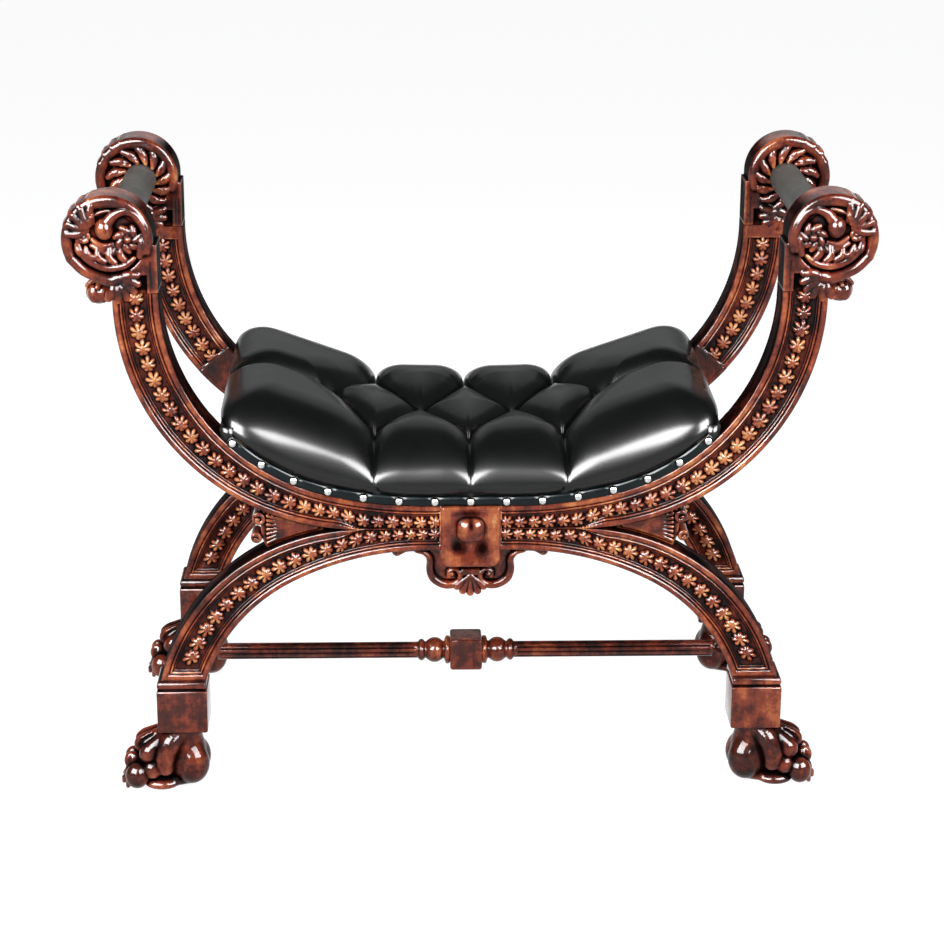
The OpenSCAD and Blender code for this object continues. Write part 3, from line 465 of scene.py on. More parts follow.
class Clay:
    """A grid of cells of size step between two corners."""

    def __init__(self, low, high, step):
        self.low = np.array(low, float)
        self.step = step
        count = np.ceil((np.array(high) - self.low) / step).astype(int) + 1
        self.field = np.full(count, CLAY_FAR, np.float32)

    def patch(self, low, high):
        """The part of the grid between two corners, and the places of its points."""
        first = ((np.array(low) - self.low) / self.step).astype(int)
        last = np.ceil((np.array(high) - self.low) / self.step).astype(int) + 1
        first = np.clip(first, 0, np.array(self.field.shape) - 1)
        last = np.clip(last, first + 1, self.field.shape)
        window = tuple(slice(a, b) for a, b in zip(first, last))
        axes = [self.low[k] + self.step * np.arange(first[k], last[k]) for k in range(3)]
        return window, np.meshgrid(*axes, indexing="ij", sparse=True)

    def add(self, form, blend=0.0):
        low, high, gap = form
        window, grid = self.patch(low - blend - CLAY_FAR, high + blend + CLAY_FAR)
        self.field[window] = soft_least(self.field[window], gap(*grid), blend)

    def cut(self, form, blend=0.0):
        low, high, gap = form
        window, grid = self.patch(low - blend - CLAY_FAR, high + blend + CLAY_FAR)
        self.field[window] = -soft_least(-self.field[window], gap(*grid), blend)

    def keep(self, gap, blend=0.0):
        """Keeps only what lies inside a form, given as distances over the whole grid."""
        grid = self.patch(self.low, self.low + self.step * (np.array(self.field.shape) - 1))[1]
        self.field = -soft_least(-self.field, -np.broadcast_to(gap(*grid), self.field.shape), blend)

    def mesh(self, reach=3.0):
        """Points, faces and tone: the tone is dark where clay surrounds a point, as painted shade, and
        light on crests, as wear and painted highlight.
        """
        self.field[[0, -1]] = CLAY_FAR
        self.field[:, [0, -1]] = CLAY_FAR
        self.field[:, :, [0, -1]] = CLAY_FAR
        grid = openvdb.FloatGrid()
        grid.copyFromArray(np.ascontiguousarray(self.field, np.float32))
        points, faces = grid.convertToQuads(isovalue=0.0)
        filled = np.clip(0.5 - self.field / self.step, 0, 1)
        cells = max(1, round(reach / self.step))
        for axis in (0, 1, 2):
            filled = blur(blur(filled, axis, cells), axis, max(1, cells // 2))
        hollow = 0.5 - between_cells(filled, points)
        tone = np.clip(CLAY_TONE + np.where(hollow > 0, CREST_WEAR_AND_HIGHLIGHT_GAIN, RECESS_GAIN) * hollow, 0, 1)
        return self.low + points * self.step, faces.tolist(), tone


def between_cells(field, points):
    """The field's value at points given in cells, mixed from the eight cells round each."""
    base = np.clip(np.floor(points).astype(int), 0, np.array(field.shape) - 2)
    part = points - base
    total = np.zeros(len(points))
    for i in (0, 1):
        for j in (0, 1):
            for k in (0, 1):
                corner = np.array([i, j, k])
                weight = np.prod(np.abs(1 - corner - part), axis=1)
                total += weight * field[tuple((base + corner).T)]
    return total


def soft_least(a, b, blend):
    """The lesser of two distances, rounded over where they are less than blend apart."""
    if blend <= 0:
        return np.minimum(a, b).astype(np.float32)
    near = np.maximum(blend - np.abs(a - b), 0) / blend
    return (np.minimum(a, b) - near * near * blend / 4).astype(np.float32)


def egg(middle, radii, turn=0.0):
    """An ellipsoid, turned by turn about Y in the plane of the frame."""
    middle, radii = np.array(middle, float), np.array(radii, float)
    c, s = math.cos(turn), math.sin(turn)
    reach = radii.max()

    def gap(x, y, z):
        dx, dy, dz = x - middle[0], y - middle[1], z - middle[2]
        u, v = dx * c + dz * s, dz * c - dx * s
        near = np.sqrt((u / radii[0]) ** 2 + (dy / radii[1]) ** 2 + (v / radii[2]) ** 2)
        steep = np.sqrt((u / radii[0] ** 2) ** 2 + (dy / radii[1] ** 2) ** 2 + (v / radii[2] ** 2) ** 2)
        return near * (near - 1) / np.maximum(steep, 1e-6)

    return middle - reach, middle + reach, gap


def spread(radii, count):
    """A few radii spread evenly over count places."""
    radii = np.atleast_1d(np.array(radii, float))
    return np.interp(np.linspace(0, 1, count), np.linspace(0, 1, len(radii)), radii)


def stroke(points, radii):
    """A round stroke through 3-D points whose radius may change."""
    points = np.array(points, float)
    radii = spread(radii, len(points))

    def gap(x, y, z):
        best = None
        for a, b, r_a, r_b in zip(points[:-1], points[1:], radii[:-1], radii[1:]):
            d = b - a
            t = ((x - a[0]) * d[0] + (y - a[1]) * d[1] + (z - a[2]) * d[2]) / max(d @ d, 1e-9)
            t = np.clip(t, 0, 1)
            off = (x - a[0] - t * d[0]) ** 2 + (y - a[1] - t * d[1]) ** 2 + (z - a[2] - t * d[2]) ** 2
            new = np.sqrt(off) - (r_a + t * (r_b - r_a))
            best = new if best is None else np.minimum(best, new)
        return best

    return points.min(0) - radii.max(), points.max(0) + radii.max(), gap


def line_gap(points, widths, x, z):
    """Distance in the plane of the frame from a line of changing half width."""
    best = None
    for a, b, w_a, w_b in zip(points[:-1], points[1:], widths[:-1], widths[1:]):
        d = b - a
        t = np.clip(((x - a[0]) * d[0] + (z - a[1]) * d[1]) / max(d @ d, 1e-9), 0, 1)
        new = np.hypot(x - a[0] - t * d[0], z - a[1] - t * d[1]) - (w_a + t * (w_b - w_a))
        best = new if best is None else np.minimum(best, new)
    return best


def rounded(flat_gap, y, low, high, edge):
    """A drawing given thickness from low to high along Y, with rounded edges."""
    deep = np.maximum(low - y, y - high) + edge
    flat = flat_gap + edge
    outside = np.hypot(np.maximum(flat, 0), np.maximum(deep, 0))
    return np.minimum(np.maximum(flat, deep), 0) + outside - edge


def strap(points, widths, low, high, edge):
    """A strap along a line in the plane of the frame, from low to high in depth."""
    points = np.array(points, float)
    widths = spread(widths, len(points))
    reach = widths.max()
    box_low = np.array([points[:, 0].min() - reach, low, points[:, 1].min() - reach])
    box_high = np.array([points[:, 0].max() + reach, high, points[:, 1].max() + reach])

    def gap(x, y, z):
        return rounded(line_gap(points, widths, x, z), y, low, high, edge)

    return box_low, box_high, gap


def slab(flat_gap, box, low, high, edge):
    """A drawing of the frame's plane between box = (x0, z0, x1, z1), given thickness."""
    box_low = np.array([box[0], low, box[1]], float)
    box_high = np.array([box[2], high, box[3]], float)

    def gap(x, y, z):
        return rounded(flat_gap(x, z), y, low, high, edge)

    return box_low, box_high, gap


def curve(points, count=10):
    """A smooth line through points, count steps to each span."""
    points = np.array(points, float)
    ends = np.vstack([2 * points[0] - points[1], points, 2 * points[-1] - points[-2]])
    line = []
    for k in range(1, len(ends) - 2):
        a, b, c, d = ends[k - 1 : k + 3]
        square = 2 * a - 5 * b + 4 * c - d
        cube = 3 * b - a - 3 * c + d
        for t in np.arange(count) / count:
            line.append(0.5 * (2 * b + (c - a) * t + square * t**2 + cube * t**3))
    return np.array(line + [points[-1]])


def outward(points, faces):
    """The faces turned so that they look out of the solid."""
    p = np.asarray(points, float)
    quads = np.array([f for f in faces if len(f) == 4])
    a, b, c, d = (p[quads[:, k]] for k in range(4))
    total = np.einsum("ij,ij->", a, np.cross(b, c)) + np.einsum("ij,ij->", a, np.cross(c, d))
    if total < 0:
        return points, [f[::-1] for f in faces]
    return points, faces


# Turned and built-up forms
def ring_mesh(rings):
    """A closed solid through rings of equal point count, with a flat fan at each end."""
    rings = np.array(rings, float)
    count, around = rings.shape[:2]
    index = np.arange(count * around).reshape(count, around)
    ahead = np.roll(index, -1, axis=1)
    faces = np.stack([index[:-1], ahead[:-1], ahead[1:], index[1:]], -1).reshape(-1, 4).tolist()
    faces.append(index[0, ::-1].tolist())
    faces.append(index[-1].tolist())
    return outward(rings.reshape(-1, 3), faces)


def rounded_square(half_x, half_y, corner, steps=6):
    """Points round a rectangle with rounded corners."""
    points = []
    for k, (sx, sy) in enumerate([(1, 1), (-1, 1), (-1, -1), (1, -1)]):
        middle_x, middle_y = sx * (half_x - corner), sy * (half_y - corner)
        for t in np.linspace(0, math.pi / 2, steps):
            a = k * math.pi / 2 + t
            points.append((middle_x + corner * math.cos(a), middle_y + corner * math.sin(a)))
    return np.array(points)


# The foot blocks, each with its moulded cap, as growth beside the block's size and height
BLOCK_HALF_X, BLOCK_HALF_Y = 34.0, 32.5
BLOCK_PROFILE = [
    (-9, 86.5), (-1.6, 87.2), (-0.3, 88.6), (0, 90.5), (0, 145), (-0.4, 147), (-1.6, 148),
    (-3.6, 148.4), (-3.8, 150.4), (-2.0, 151.2), (-0.9, 152.6), (-0.6, 155), (-0.9, 157.5),
    (-2.2, 160), (-4.5, 161.6), (-12, 162),
]
# The block's tone by height: dark in the cap's cove as painted shade, light on its edges as wear and
# painted highlight
BLOCK_WEAR_AND_PAINTED_LIGHT = [
    (87, 0.45), (89, 0.7), (92, 0.56), (144, 0.58), (147, 0.76), (148.5, 0.2), (150, 0.15),
    (152, 0.68), (156, 0.68), (162, 0.4),
]


def make_blocks(wood):
    rings = []
    for grow, z in BLOCK_PROFILE:
        outline = rounded_square(BLOCK_HALF_X + grow, BLOCK_HALF_Y + grow, 2.5)
        rings.append([(BLOCK_X + p[0], p[1], z) for p in outline])
    points, faces = ring_mesh(rings)
    tone = np.interp(points[:, 2], *zip(*BLOCK_WEAR_AND_PAINTED_LIGHT))
    place_corners("foot_block", points, faces, tone, wood)


# The scroll heads, each of one clay: a plate, a neck, a band round them, leaves and a flower
CLAY_STEP = 1.0
BAND_R = 51.6
BEAD_MIDDLE, BEAD_R = 5, 38.6


def on_scroll(points, y):
    """Points drawn from the scroll's middle, with u towards the arm's inner side, at depth y."""
    points = np.array(points, float)
    return np.stack([SCROLL_X - points[:, 0], np.full(len(points), float(y)), SCROLL_Z + points[:, 1]], -1)


def lobe(u, z, y, radii, degrees=0.0):
    """A rounded lobe on the scroll, turned from level towards the upright."""
    return egg((SCROLL_X - u, y, SCROLL_Z + z), radii, math.radians(180 - degrees))


def round_points(radius, angles, middle=(0, 0)):
    """Places on a circle at the given angles."""
    return [(middle[0] + radius * math.cos(a), middle[1] + radius * math.sin(a)) for a in angles]


def scroll_band():
    """The strap round the scroll's rim, which curls on under it as a tail."""
    round_part = round_points(BAND_R, [math.radians(a) for a in range(-14, 204, 6)])
    tail = curve([(-46.8, -23), (-31.5, -38.5), (-14, -47), (3, -52.5), (13, -50.5)], 6)
    line = np.array([(SCROLL_X - u, SCROLL_Z + z) for u, z in round_part + tail.tolist()])
    widths = np.interp(np.arange(len(line)), [0, 12, 24, 36, 50, 60], [6.8, 8.3, 7.6, 6.8, 6.8, 8.6])
    return strap(line, widths, -30, 30, 6.6)


def scroll_plate(x, z):
    return circle_gap(x, z, SCROLL_X, SCROLL_Z, 49)


def scroll_field(x, z):
    """The raised round field that the leaves lie on."""
    return circle_gap(x, z, SCROLL_X - BEAD_MIDDLE, SCROLL_Z, 40)


def scroll_neck(x, z):
    """The arm's top, as far as the round plate leaves room."""
    box = np.maximum(np.abs(x - 432.0) - 29.5, np.maximum(ARM_TOP - z, z - 764))
    return np.maximum(box, -circle_gap(x, z, SCROLL_X - BEAD_MIDDLE, SCROLL_Z, 43.5))


def neck_panel(x, z):
    return np.maximum(np.abs(x - 431.5) - 15.5, z - 724)


def scroll_base(clay):
    clay.add(slab(scroll_plate, (410, 715, 520, 825), -15, 15, 1))
    clay.add(slab(scroll_neck, (402, 699, 462, 765), -26, 26, 1.4), 1.5)
    clay.add(slab(scroll_field, (418, 725, 502, 812), -21, 21, 3), 1.5)
    for face in (-1, 1):
        low, high = sorted((22 * face, 28 * face))
        clay.cut(slab(neck_panel, (415, 697, 448, 725), low, high, 0.4))
        clay.cut(stroke([(411.2, face * 26.6, 697), (411.2, face * 26.6, 741)], 1.5), 0.3)
    clay.add(scroll_band(), 1.0)
    bead = round_points(BEAD_R, np.linspace(0, 2 * math.pi, 40), (BEAD_MIDDLE, 0))
    for y in (-21.5, 21.5):
        clay.add(stroke(on_scroll(bead, y), 2.3), 1.0)
    groove = round_points(46, [math.radians(a) for a in range(20, 200, 8)])
    for y in (-30.5, 30.5):
        clay.cut(stroke(on_scroll(groove, y), 0.9), 0.6)


def fingers(clay, base, tips, y, radii, bend=0.0, blend=0.8):
    """Fingers of a leaf from near one place to each tip, bent to one side."""
    base = np.array(base, float)
    for tip in tips:
        way = np.array(tip, float) - base
        aside = bend * np.array([-way[1], way[0]])
        line = curve([base + 0.25 * way, base + 0.6 * way + aside, base + way], 4)
        clay.add(stroke(on_scroll(line, y), radii), blend)


def pinwheel(clay, middle, count, inner, outer, sweep, y, radii, blend=0.6):
    """Curved fingers side by side round a place, like a turned leaf."""
    for k in range(count):
        a = 2 * math.pi * (k + 0.5) / count
        line = []
        for t in np.linspace(0, 1, 6):
            r = inner + (outer - inner) * t
            turn = a + sweep * t
            line.append((middle[0] + r * math.cos(turn), middle[1] + r * math.sin(turn)))
        clay.add(stroke(on_scroll(line, y), radii), blend)


def leaf_over_band(clay):
    """The leaf that laps over the band at its upper outer side."""
    for degrees, out in ((112, 55.0), (127, 56.0), (142, 56.0), (157, 55.0)):
        a = math.radians(degrees)
        u, z = out * math.cos(a), out * math.sin(a)
        across = on_scroll([(u, z)] * 4, 0) + np.array([[0, y, 0] for y in (-25, -12, 12, 25)])
        clay.add(stroke(across, [4.6, 5.8, 5.8, 4.6]), 1.0)
    tips = ((-50, 10), (-48, 23), (-41, 34), (-31, 42), (-19, 46))
    fingers(clay, (-17, 17), tips, -27.5, [4.0, 5.6, 5.6, 4.4], 0.08, 1.2)
    fingers(clay, (-20, 18), ((-34, 24), (-27, 31), (-17, 33)), -30.5, [2.6, 3.6, 3.0], 0.12, 1.2)


def scroll_flower(clay):
    """The outer face: a bud on a long curled stem, a flower in its crook, and a leaf along the rim."""
    under_bud = ((-19, 2), (-20, -6), (-12, -13), (-1, -16), (10, -18))
    fingers(clay, (16, -6), under_bud, -23.5, [2.4, 4.4, 4.6, 2.8], 0.18, 0.6)
    rim = curve([(-38, 4), (-33, -14), (-19, -28), (0, -35), (21, -32), (34, -22)], 6)
    clay.add(stroke(on_scroll(rim, -25.5), [2.4, 4.6, 5.0, 5.0, 4.6, 2.6]), 1.0)
    for u, z, away in ((-24, -13, 150), (-14, -19, 140), (-3, -24, 125), (9, -26, 110), (21, -23, 95)):
        a = math.radians(away)
        tip = (u + 17 * math.cos(a), z + 17 * math.sin(a))
        fingers(clay, (u + 2, z - 8), [tip], -25.5, [4.6, 5.6, 4.8, 2.6], 0.16, 0.8)
    pinwheel(clay, (27, 3), 7, 5, 16.5, 0.75, -26, [3.4, 4.6, 5.0, 3.2])
    clay.add(lobe(27, 3, -28.5, (5.4, 6.5, 5.4)), 0.6)
    drop = curve([(43, 8), (45, -6), (41, -19)], 5)
    clay.add(stroke(on_scroll(drop, -26), [2.6, 6.2, 6.6, 4.0]), 0.8)
    gully = curve([(9, 8), (9, 22), (15, 30), (27, 33), (38, 26), (45, 12)], 5)
    clay.cut(stroke(on_scroll(gully, -32), 2.2), 0.8)
    clay.cut(stroke(on_scroll(curve([(-16, 20), (-14, 8), (-5, 1), (6, 5)], 5), -31), 3.0), 1.0)
    clay.add(lobe(-3, 16, -26.5, (11.4, 11.5, 13.8), 12), 0.2)
    stem = curve([(2, 25), (10, 34), (24, 39), (38, 33), (47, 18), (50, 2), (47, -12)], 6)
    clay.add(stroke(on_scroll(stem, -27), [7.4, 6.2, 5.0, 4.4, 4.2, 4.8, 5.8]), 0.8)
    eye = round_points(5.8, np.linspace(0, 5.4, 14), (-29, 6))
    clay.add(stroke(on_scroll(eye, -27), 3.1), 0.5)
    clay.add(egg((SCROLL_X + 29, -26, SCROLL_Z + 6), (3.2, 5.0, 3.2)), 0.3)


def scroll_rosette(clay):
    """The inner face: a turned leaf round the end of the arm rail."""
    pinwheel(clay, (5, 0), 13, 26, 45, 0.42, 25, [3.4, 6.0, 6.4, 4.2], 0.8)
    pinwheel(clay, (5.5, 0), 13, 24, 33, 0.3, 28.5, [2.6, 3.4, 2.4], 0.8)


def leaf_collar(clay):
    """The scalloped leaf under the scroll, which lies over the arm's top."""
    for side in (-1, 1):
        clay.add(lobe(14, -57, side * 21, (18, 7.5, 15), 0), 2.0)
        tips = ((36, -45), (37, -56), (32, -66), (23, -74), (11, -78), (-1, -75))
        fingers(clay, (9, -51), tips, side * 24.0, [5.0, 7.4, 7.2, 5.2], -0.08 * side, 0.8)


def make_scrolls(wood):
    """A scroll's rim is a little paler than its faces, and painted darker towards the seat, as shade."""
    clay = Clay((398, -41, 686), (530, 41, 832), CLAY_STEP)
    scroll_base(clay)
    leaf_over_band(clay)
    leaf_collar(clay)
    scroll_flower(clay)
    scroll_rosette(clay)
    points, faces, tone = clay.mesh(5)
    x, y, _ = points.T
    side = smooth_step(25.5, 23.5, np.abs(y))
    # Towards the seat the sides are painted darker, as shade
    tone = tone - 0.05 + 0.06 * side - 0.36 * side * smooth_step(445, 415, x)
    place_corners("scroll", points, faces, tone, wood)


# The buds: round fruits in five leaves, which hang under the scrolls outside the arms
BUD_X, BUD_Z = 479.5, 697.0
BUD_LEAVES = 5


def outside_arm(x, y, z):
    """Distance outside the space that the scroll and the arm leave to the bud."""
    return np.maximum(-circle_gap(x, z, SCROLL_X, SCROLL_Z, 60.2), ARM_OUT + 0.2 - x)


def make_buds(wood):
    x, z = BUD_X, BUD_Z
    clay = Clay((452, -24, 670), (508, 24, 724), 0.85)
    clay.add(egg((x + 1, 0, z - 1), (15.5, 16.0, 15.0)))
    for k in range(BUD_LEAVES):
        a = 2 * math.pi * k / BUD_LEAVES + 0.3
        clay.add(egg((x + 1 + 9 * math.cos(a), 9.5 * math.sin(a), z - 1), (8.8, 8.8, 12.5)), 0.8)
        foot = (x + 0.5 + 6 * math.cos(a), 6.5 * math.sin(a), z + 19)
        tip = (x + 1.5 + 14.5 * math.cos(a + 0.6), 15 * math.sin(a + 0.6), z + 9)
        clay.add(stroke([foot, tip], [5.2, 3.4]), 0.8)
    clay.add(stroke([(x, 0, z + 8), (x - 2, 0, z + 24)], [9, 8]), 2.0)
    clay.keep(outside_arm)
    place_corners("bud", *clay.mesh(2.4), wood)


# The paws: drawn from the middle of the block, with w towards the bench's end
PAW_TOP = 87
PAW_SHADE = 0.13


def paw_slab(x, y, z):
    """Distance outside the level space between floor and block."""
    return np.maximum(z - PAW_TOP, -z)


def make_paws(wood):
    """A lion's paw: a smooth wrist and heel, plump toes with knuckles, and a low pad."""

    def at(w, y, z):
        return BLOCK_X + w, y, z

    clay = Clay((346, -44, -3), (488, 44, 90), 1.0)
    clay.add(egg(at(4, 0, 44), (33, 29, 38)))
    clay.add(stroke([at(2, 0, 90), at(4, 0, 66)], [25, 27]), 8)
    clay.add(egg(at(34, 0, 33), (36, 27, 29)), 6)
    clay.add(egg(at(16, 0, 10), (34, 24, 11)), 4)
    for side in (-1, 1):
        clay.add(egg(at(-9, side * 13, 35), (24.5, 21.5, 30)), 4)
        heel = [at(-8, side * 42, 70), at(1, side * 38, 52), at(9, side * 38, 30), at(18, side * 38, 14)]
        clay.cut(stroke(heel, [2.5, 4.5, 5.0, 4.5]), 6)
        outer_toe = [at(8, side * 15, 78), at(19, side * 22, 67)]
        outer_toe += [at(26, side * 25.5, 49), at(26, side * 24.5, 33)]
        clay.add(stroke(curve(outer_toe, 5), [14, 15.5, 14.5, 11.5]), 3.0)
        clay.add(stroke([at(28, side * 15, 71), at(46, side * 22, 57)], [11, 12]), 3)
        clay.add(egg(at(49, side * 23.5, 53), (12.5, 10.5, 12.0)), 4.0)
        clay.add(egg(at(44, side * 25, 30), (12.0, 10.0, 12.5)), 5.0)
        clay.add(egg(at(65, side * 24.5, 21), (16.0, 14.0, 18.0)), 2.5)
        clay.add(stroke([at(28, side * 7, 76), at(52, side * 8.5, 67)], [11, 11]), 3)
        clay.add(egg(at(57, side * 9, 62), (12.0, 9.0, 12.0)), 3.0)
        clay.add(egg(at(72, side * 8.5, 37), (11.5, 9.0, 13.5)), 1.6)
        clay.add(egg(at(72, side * 8.5, 18), (12.5, 9.0, 15.0)), 1.2)
        top = [at(44, side * 14, 78), at(60, side * 16.5, 68), at(72, side * 17, 50)]
        parting = top + [at(84, side * 17, 30), at(86, side * 17, 6)]
        clay.cut(stroke(parting, [1.8, 2.4, 2.6, 2.8, 2.8]), 2.0)
        for w, y in ((75, 25), (82, 8.5)):
            claw = [at(w - 4, side * y, 15), at(w + 1.5, side * y, 11), at(w + 3, side * y, 6)]
            clay.add(stroke(claw, [6.0, 4.6, 3.0]), 0.8)
        clay.add(egg(at(32, side * 15, 7), (24, 17, 9)), 2)
    clay.cut(stroke([at(46, 0, 84), at(64, 0, 72), at(80, 0, 46), at(88, 0, 8)], 2.2), 2.0)
    clay.keep(paw_slab, 1.5)
    points, faces, tone = clay.mesh(6)
    place_corners("paw", points, faces, tone - PAW_SHADE, wood)


# The spandrels fill the angle between arm and leg, and end in two small volutes
SPANDREL_BOX = (190, 330, 300, 424)
VOLUTES = ((281, 388, 10.5), (285, 361, 9.0))
SPANDREL_RIBS = 7


def between_members(x, z, lap):
    """Distance outside the space between arm and leg, with lap into both."""
    arm = -circle_gap(x, z, ARM_X, ARM_Z, ARM_R + lap)
    leg = -circle_gap(x, z, LEG_X, LEG_Z, LEG_R + lap)
    return np.maximum(arm, leg)


def spandrel_plate(x, z):
    """Its open end is hollow, and its tip stops short of the hub."""
    mouth = x - 279 + 0.012 * (z - 373) ** 2
    return np.maximum(between_members(x, z, 0.3), np.maximum(mouth, 196 - x))


def small_volute(clay, x, z, r):
    """A round knob with a strap that turns in to a button."""

    def knob(px, pz):
        return circle_gap(px, pz, x, z, r) + 1.5

    turn = []
    for a in np.linspace(0, 5.5, 20):
        reach = r - 2.6 - 0.9 * a
        turn.append((x + reach * math.cos(a + 1), z + reach * math.sin(a + 1)))
    clay.add(slab(knob, (x - r, z - r, x + r, z + r), -13, 13, 2), 0.8)
    clay.add(strap(turn, [2.6, 2.0], -17, 17, 1.6), 0.6)
    clay.add(egg((x, 0, z), (3.0, 17.5, 3.0)), 0.5)


def make_spandrels(wood):
    clay = Clay((190, -22, 330), (300, 22, 424), 0.9)
    clay.add(slab(spandrel_plate, SPANDREL_BOX, -11, 11, 0.5))
    for x, z, r in VOLUTES:
        small_volute(clay, x, z, r)
    for up in np.linspace(-1, 1, SPANDREL_RIBS):
        rib = [(204, 376.5 + 1.2 * up), (228, 376 + 5.5 * up), (252, 375 + 12.5 * up), (270, 374 + 19 * up)]
        clay.add(strap(curve(rib, 6), [1.0, 2.0, 2.6, 2.0], -15.5, 15.5, 1.6), 0.5)
    for x, z in round_points(ARM_R + 4.8, np.radians(np.arange(-78, -50, 1.15)), (ARM_X, ARM_Z)):
        if 214 < x < 284:
            clay.add(egg((x, 0, z), (2.4, 16.0, 2.2)), 0.4)
    clay.keep(lambda x, y, z: between_members(x, z, 0.25))
    place_corners("spandrel", *clay.mesh(2.4), wood)


# The aprons under the hub: a C-scroll and a tendril to each side, and a fan shell between them
APRON_SCROLL = [
    (72, 342), (61, 339), (54, 330), (54.5, 316), (50, 303), (38, 294.5),
    (25, 293), (15, 299), (13.5, 309), (20, 316), (28, 313), (28, 307),
]
APRON_SCROLL_W = [2.6, 3.4, 4.2, 4.6, 5.0, 5.0, 4.6, 3.8, 3.2, 2.8, 2.8, 3.6]
APRON_TENDRIL = [(60, 341), (74, 343.5), (86, 342.5), (95, 339)]
SHELL_FINGERS = 5


def apron_plate(x, z):
    low = np.where(z < 314, low_corner_gap(x, z, 36, 314, 18), np.abs(x) - 54)
    return np.maximum(np.maximum(z - 349, 300 - z), low)


def shell_bar(x, z):
    """The short bar that the shell's fingers spring from."""
    return np.maximum(np.abs(x) - 12.5, np.abs(z - 312) - 4.6)


def apron_room(x, y, z):
    """Distance outside the space that the arch and the hub leave to the apron."""
    arch = arch_crown_gap(np.abs(x), z) + 0.2
    corner = low_corner_gap(x, z, HUB_CORNER_X, HUB_CORNER_Z, 13.3)
    hub = np.where(z > HUB_CORNER_Z, np.abs(x) - 39.3, corner)
    return np.maximum(arch, -hub)


def make_aprons(wood):
    clay = Clay((-112, -22, 276), (112, 22, 350), 0.9)
    clay.add(slab(apron_plate, (-56, 298, 56, 349), -9, 9, 1))
    for side in (-1, 1):
        line = curve([(side * x, z) for x, z in APRON_SCROLL], 6)
        clay.add(strap(line, APRON_SCROLL_W, -18, 18, 3.6), 0.6)
        clay.add(egg((side * 25, 0, 309.5), (6.0, 18.5, 6.0)), 0.5)
        tendril = curve([(side * x, z) for x, z in APRON_TENDRIL], 6)
        clay.add(strap(tendril, [3.6, 3.0, 2.6, 3.4], -14, 14, 2.2), 0.6)
        clay.add(egg((side * 98, 0, 338.2), (7.4, 12, 7.4)), 0.8)
    clay.add(slab(shell_bar, (-13, 306, 13, 318), -17.5, 17.5, 2.2), 0.8)
    for k in range(SHELL_FINGERS):
        a = math.radians(-90 + (k - 2) * 27)
        foot = (2 * math.cos(a), 308)
        tip = (22 * math.cos(a), 304 + 21 * math.sin(a))
        clay.add(strap([foot, tip], [1.8, 5.0], -19, 19, 3.2), 0.4)
    clay.keep(apron_room)
    place_ends("apron", *clay.mesh(2.6), wood)


# The hubs, square above and round at the lower corners, and their bosses
HUB_HALF_Y = 32.5
BOSS_HALF_X, BOSS_HALF_Z, BOSS_RISE, BOSS_Z = 19.4, 17.6, 14.5, 377.6
BOSS_SQUARE = 3.2
BOSS_SHANK = [(18.2, -27.0), (5, -26.5), (5, -17.5)]
BOSS_WEAR_AND_PAINTED_LIGHT = [(-43, 0.8), (-36, 0.7), (-31, 0.3), (-28, 0.1)]


def hub_block(x, z):
    low = low_corner_gap(x, z, HUB_CORNER_X, HUB_CORNER_Z, HUB_CORNER_R)
    sides = np.maximum(np.abs(x) - HUB_SIDE, z - SEAT_LOW)
    return np.where(z > HUB_CORNER_Z, sides, np.maximum(low, np.abs(x) - HUB_SIDE))


def dished_hub(x, y, z):
    """The block with its front and back a little hollow round the boss."""
    dish = 4.4 * smooth_step(34, 15, np.abs(x)) * smooth_step(324, 352, z) * smooth_step(412, 396, z)
    return rounded(hub_block(x, z), y, dish - HUB_HALF_Y, HUB_HALF_Y - dish, 3.0)


def make_hubs(wood):
    """Both faces: staining and painted shadow beside the boss's foot, painted shadow at the top, the clay's
    tone elsewhere.
    """
    clay = Clay((-42, -36, 321), (42, 36, 412), 1.0)
    low, high = (-HUB_SIDE, -HUB_HALF_Y, 324.8), (HUB_SIDE, HUB_HALF_Y, SEAT_LOW)
    clay.add((np.array(low), np.array(high), dished_hub))
    points, faces, tone = clay.mesh(5)
    x, y, z = points.T
    faced = smooth_step(24, 30, np.abs(y))
    # Dark marks: staining with painted shadow beside the boss's foot, and painted shadow above the boss
    low_stain_and_shadow = np.exp(-(((np.abs(x) - 14) / 12) ** 2) - ((z - 352) / 11) ** 2)
    high_shadow = 0.4 * np.exp(-((x / 20) ** 2) - ((z - 399) / 7) ** 2)
    stain_and_shadow = np.clip(low_stain_and_shadow + high_shadow, 0, 1) * faced
    tone = np.clip(np.minimum(tone + 0.1, 0.76) - 0.55 * stain_and_shadow, 0, 1)
    place_ends("hub", points, faces, tone, wood)


def make_bosses(wood):
    """The glossy knob on each hub, nearly square, with its shank in the hub."""
    around = 64
    turn = np.linspace(0, 2 * math.pi, around, endpoint=False)
    c, s = np.cos(turn), np.sin(turn)
    outline = 1 / (np.abs(c) ** BOSS_SQUARE + np.abs(s) ** BOSS_SQUARE) ** (1 / BOSS_SQUARE)
    rings = []
    for t in np.linspace(0.02, 1, 24):
        reach = t**0.9 * outline
        y = -32.0 + 3.5 - BOSS_RISE * math.sqrt(max(0.0, 1 - t**2.2))
        x, z = BOSS_HALF_X * reach * c, BOSS_Z + BOSS_HALF_Z * reach * s
        rings.append(np.stack([x, np.full(around, y), z], -1))
    for r, y in BOSS_SHANK:
        form = outline if r > 6 else 1
        rings.append(np.stack([r * c * form, np.full(around, y), BOSS_Z + r * s * form], -1))
    points, faces = ring_mesh(rings)
    x, y, z = points.T
    # Light at the front as wear and painted highlight, dark at the foot as painted shade
    tone = np.interp(y, *zip(*BOSS_WEAR_AND_PAINTED_LIGHT))
    # A dark patch between the boss's two highlights: a painted reflection
    tone -= 0.6 * np.exp(-((x / 3.6) ** 2) - ((z - 386.5) / 6.5) ** 2)
    place_ends("hub_boss", points, faces, tone, wood)


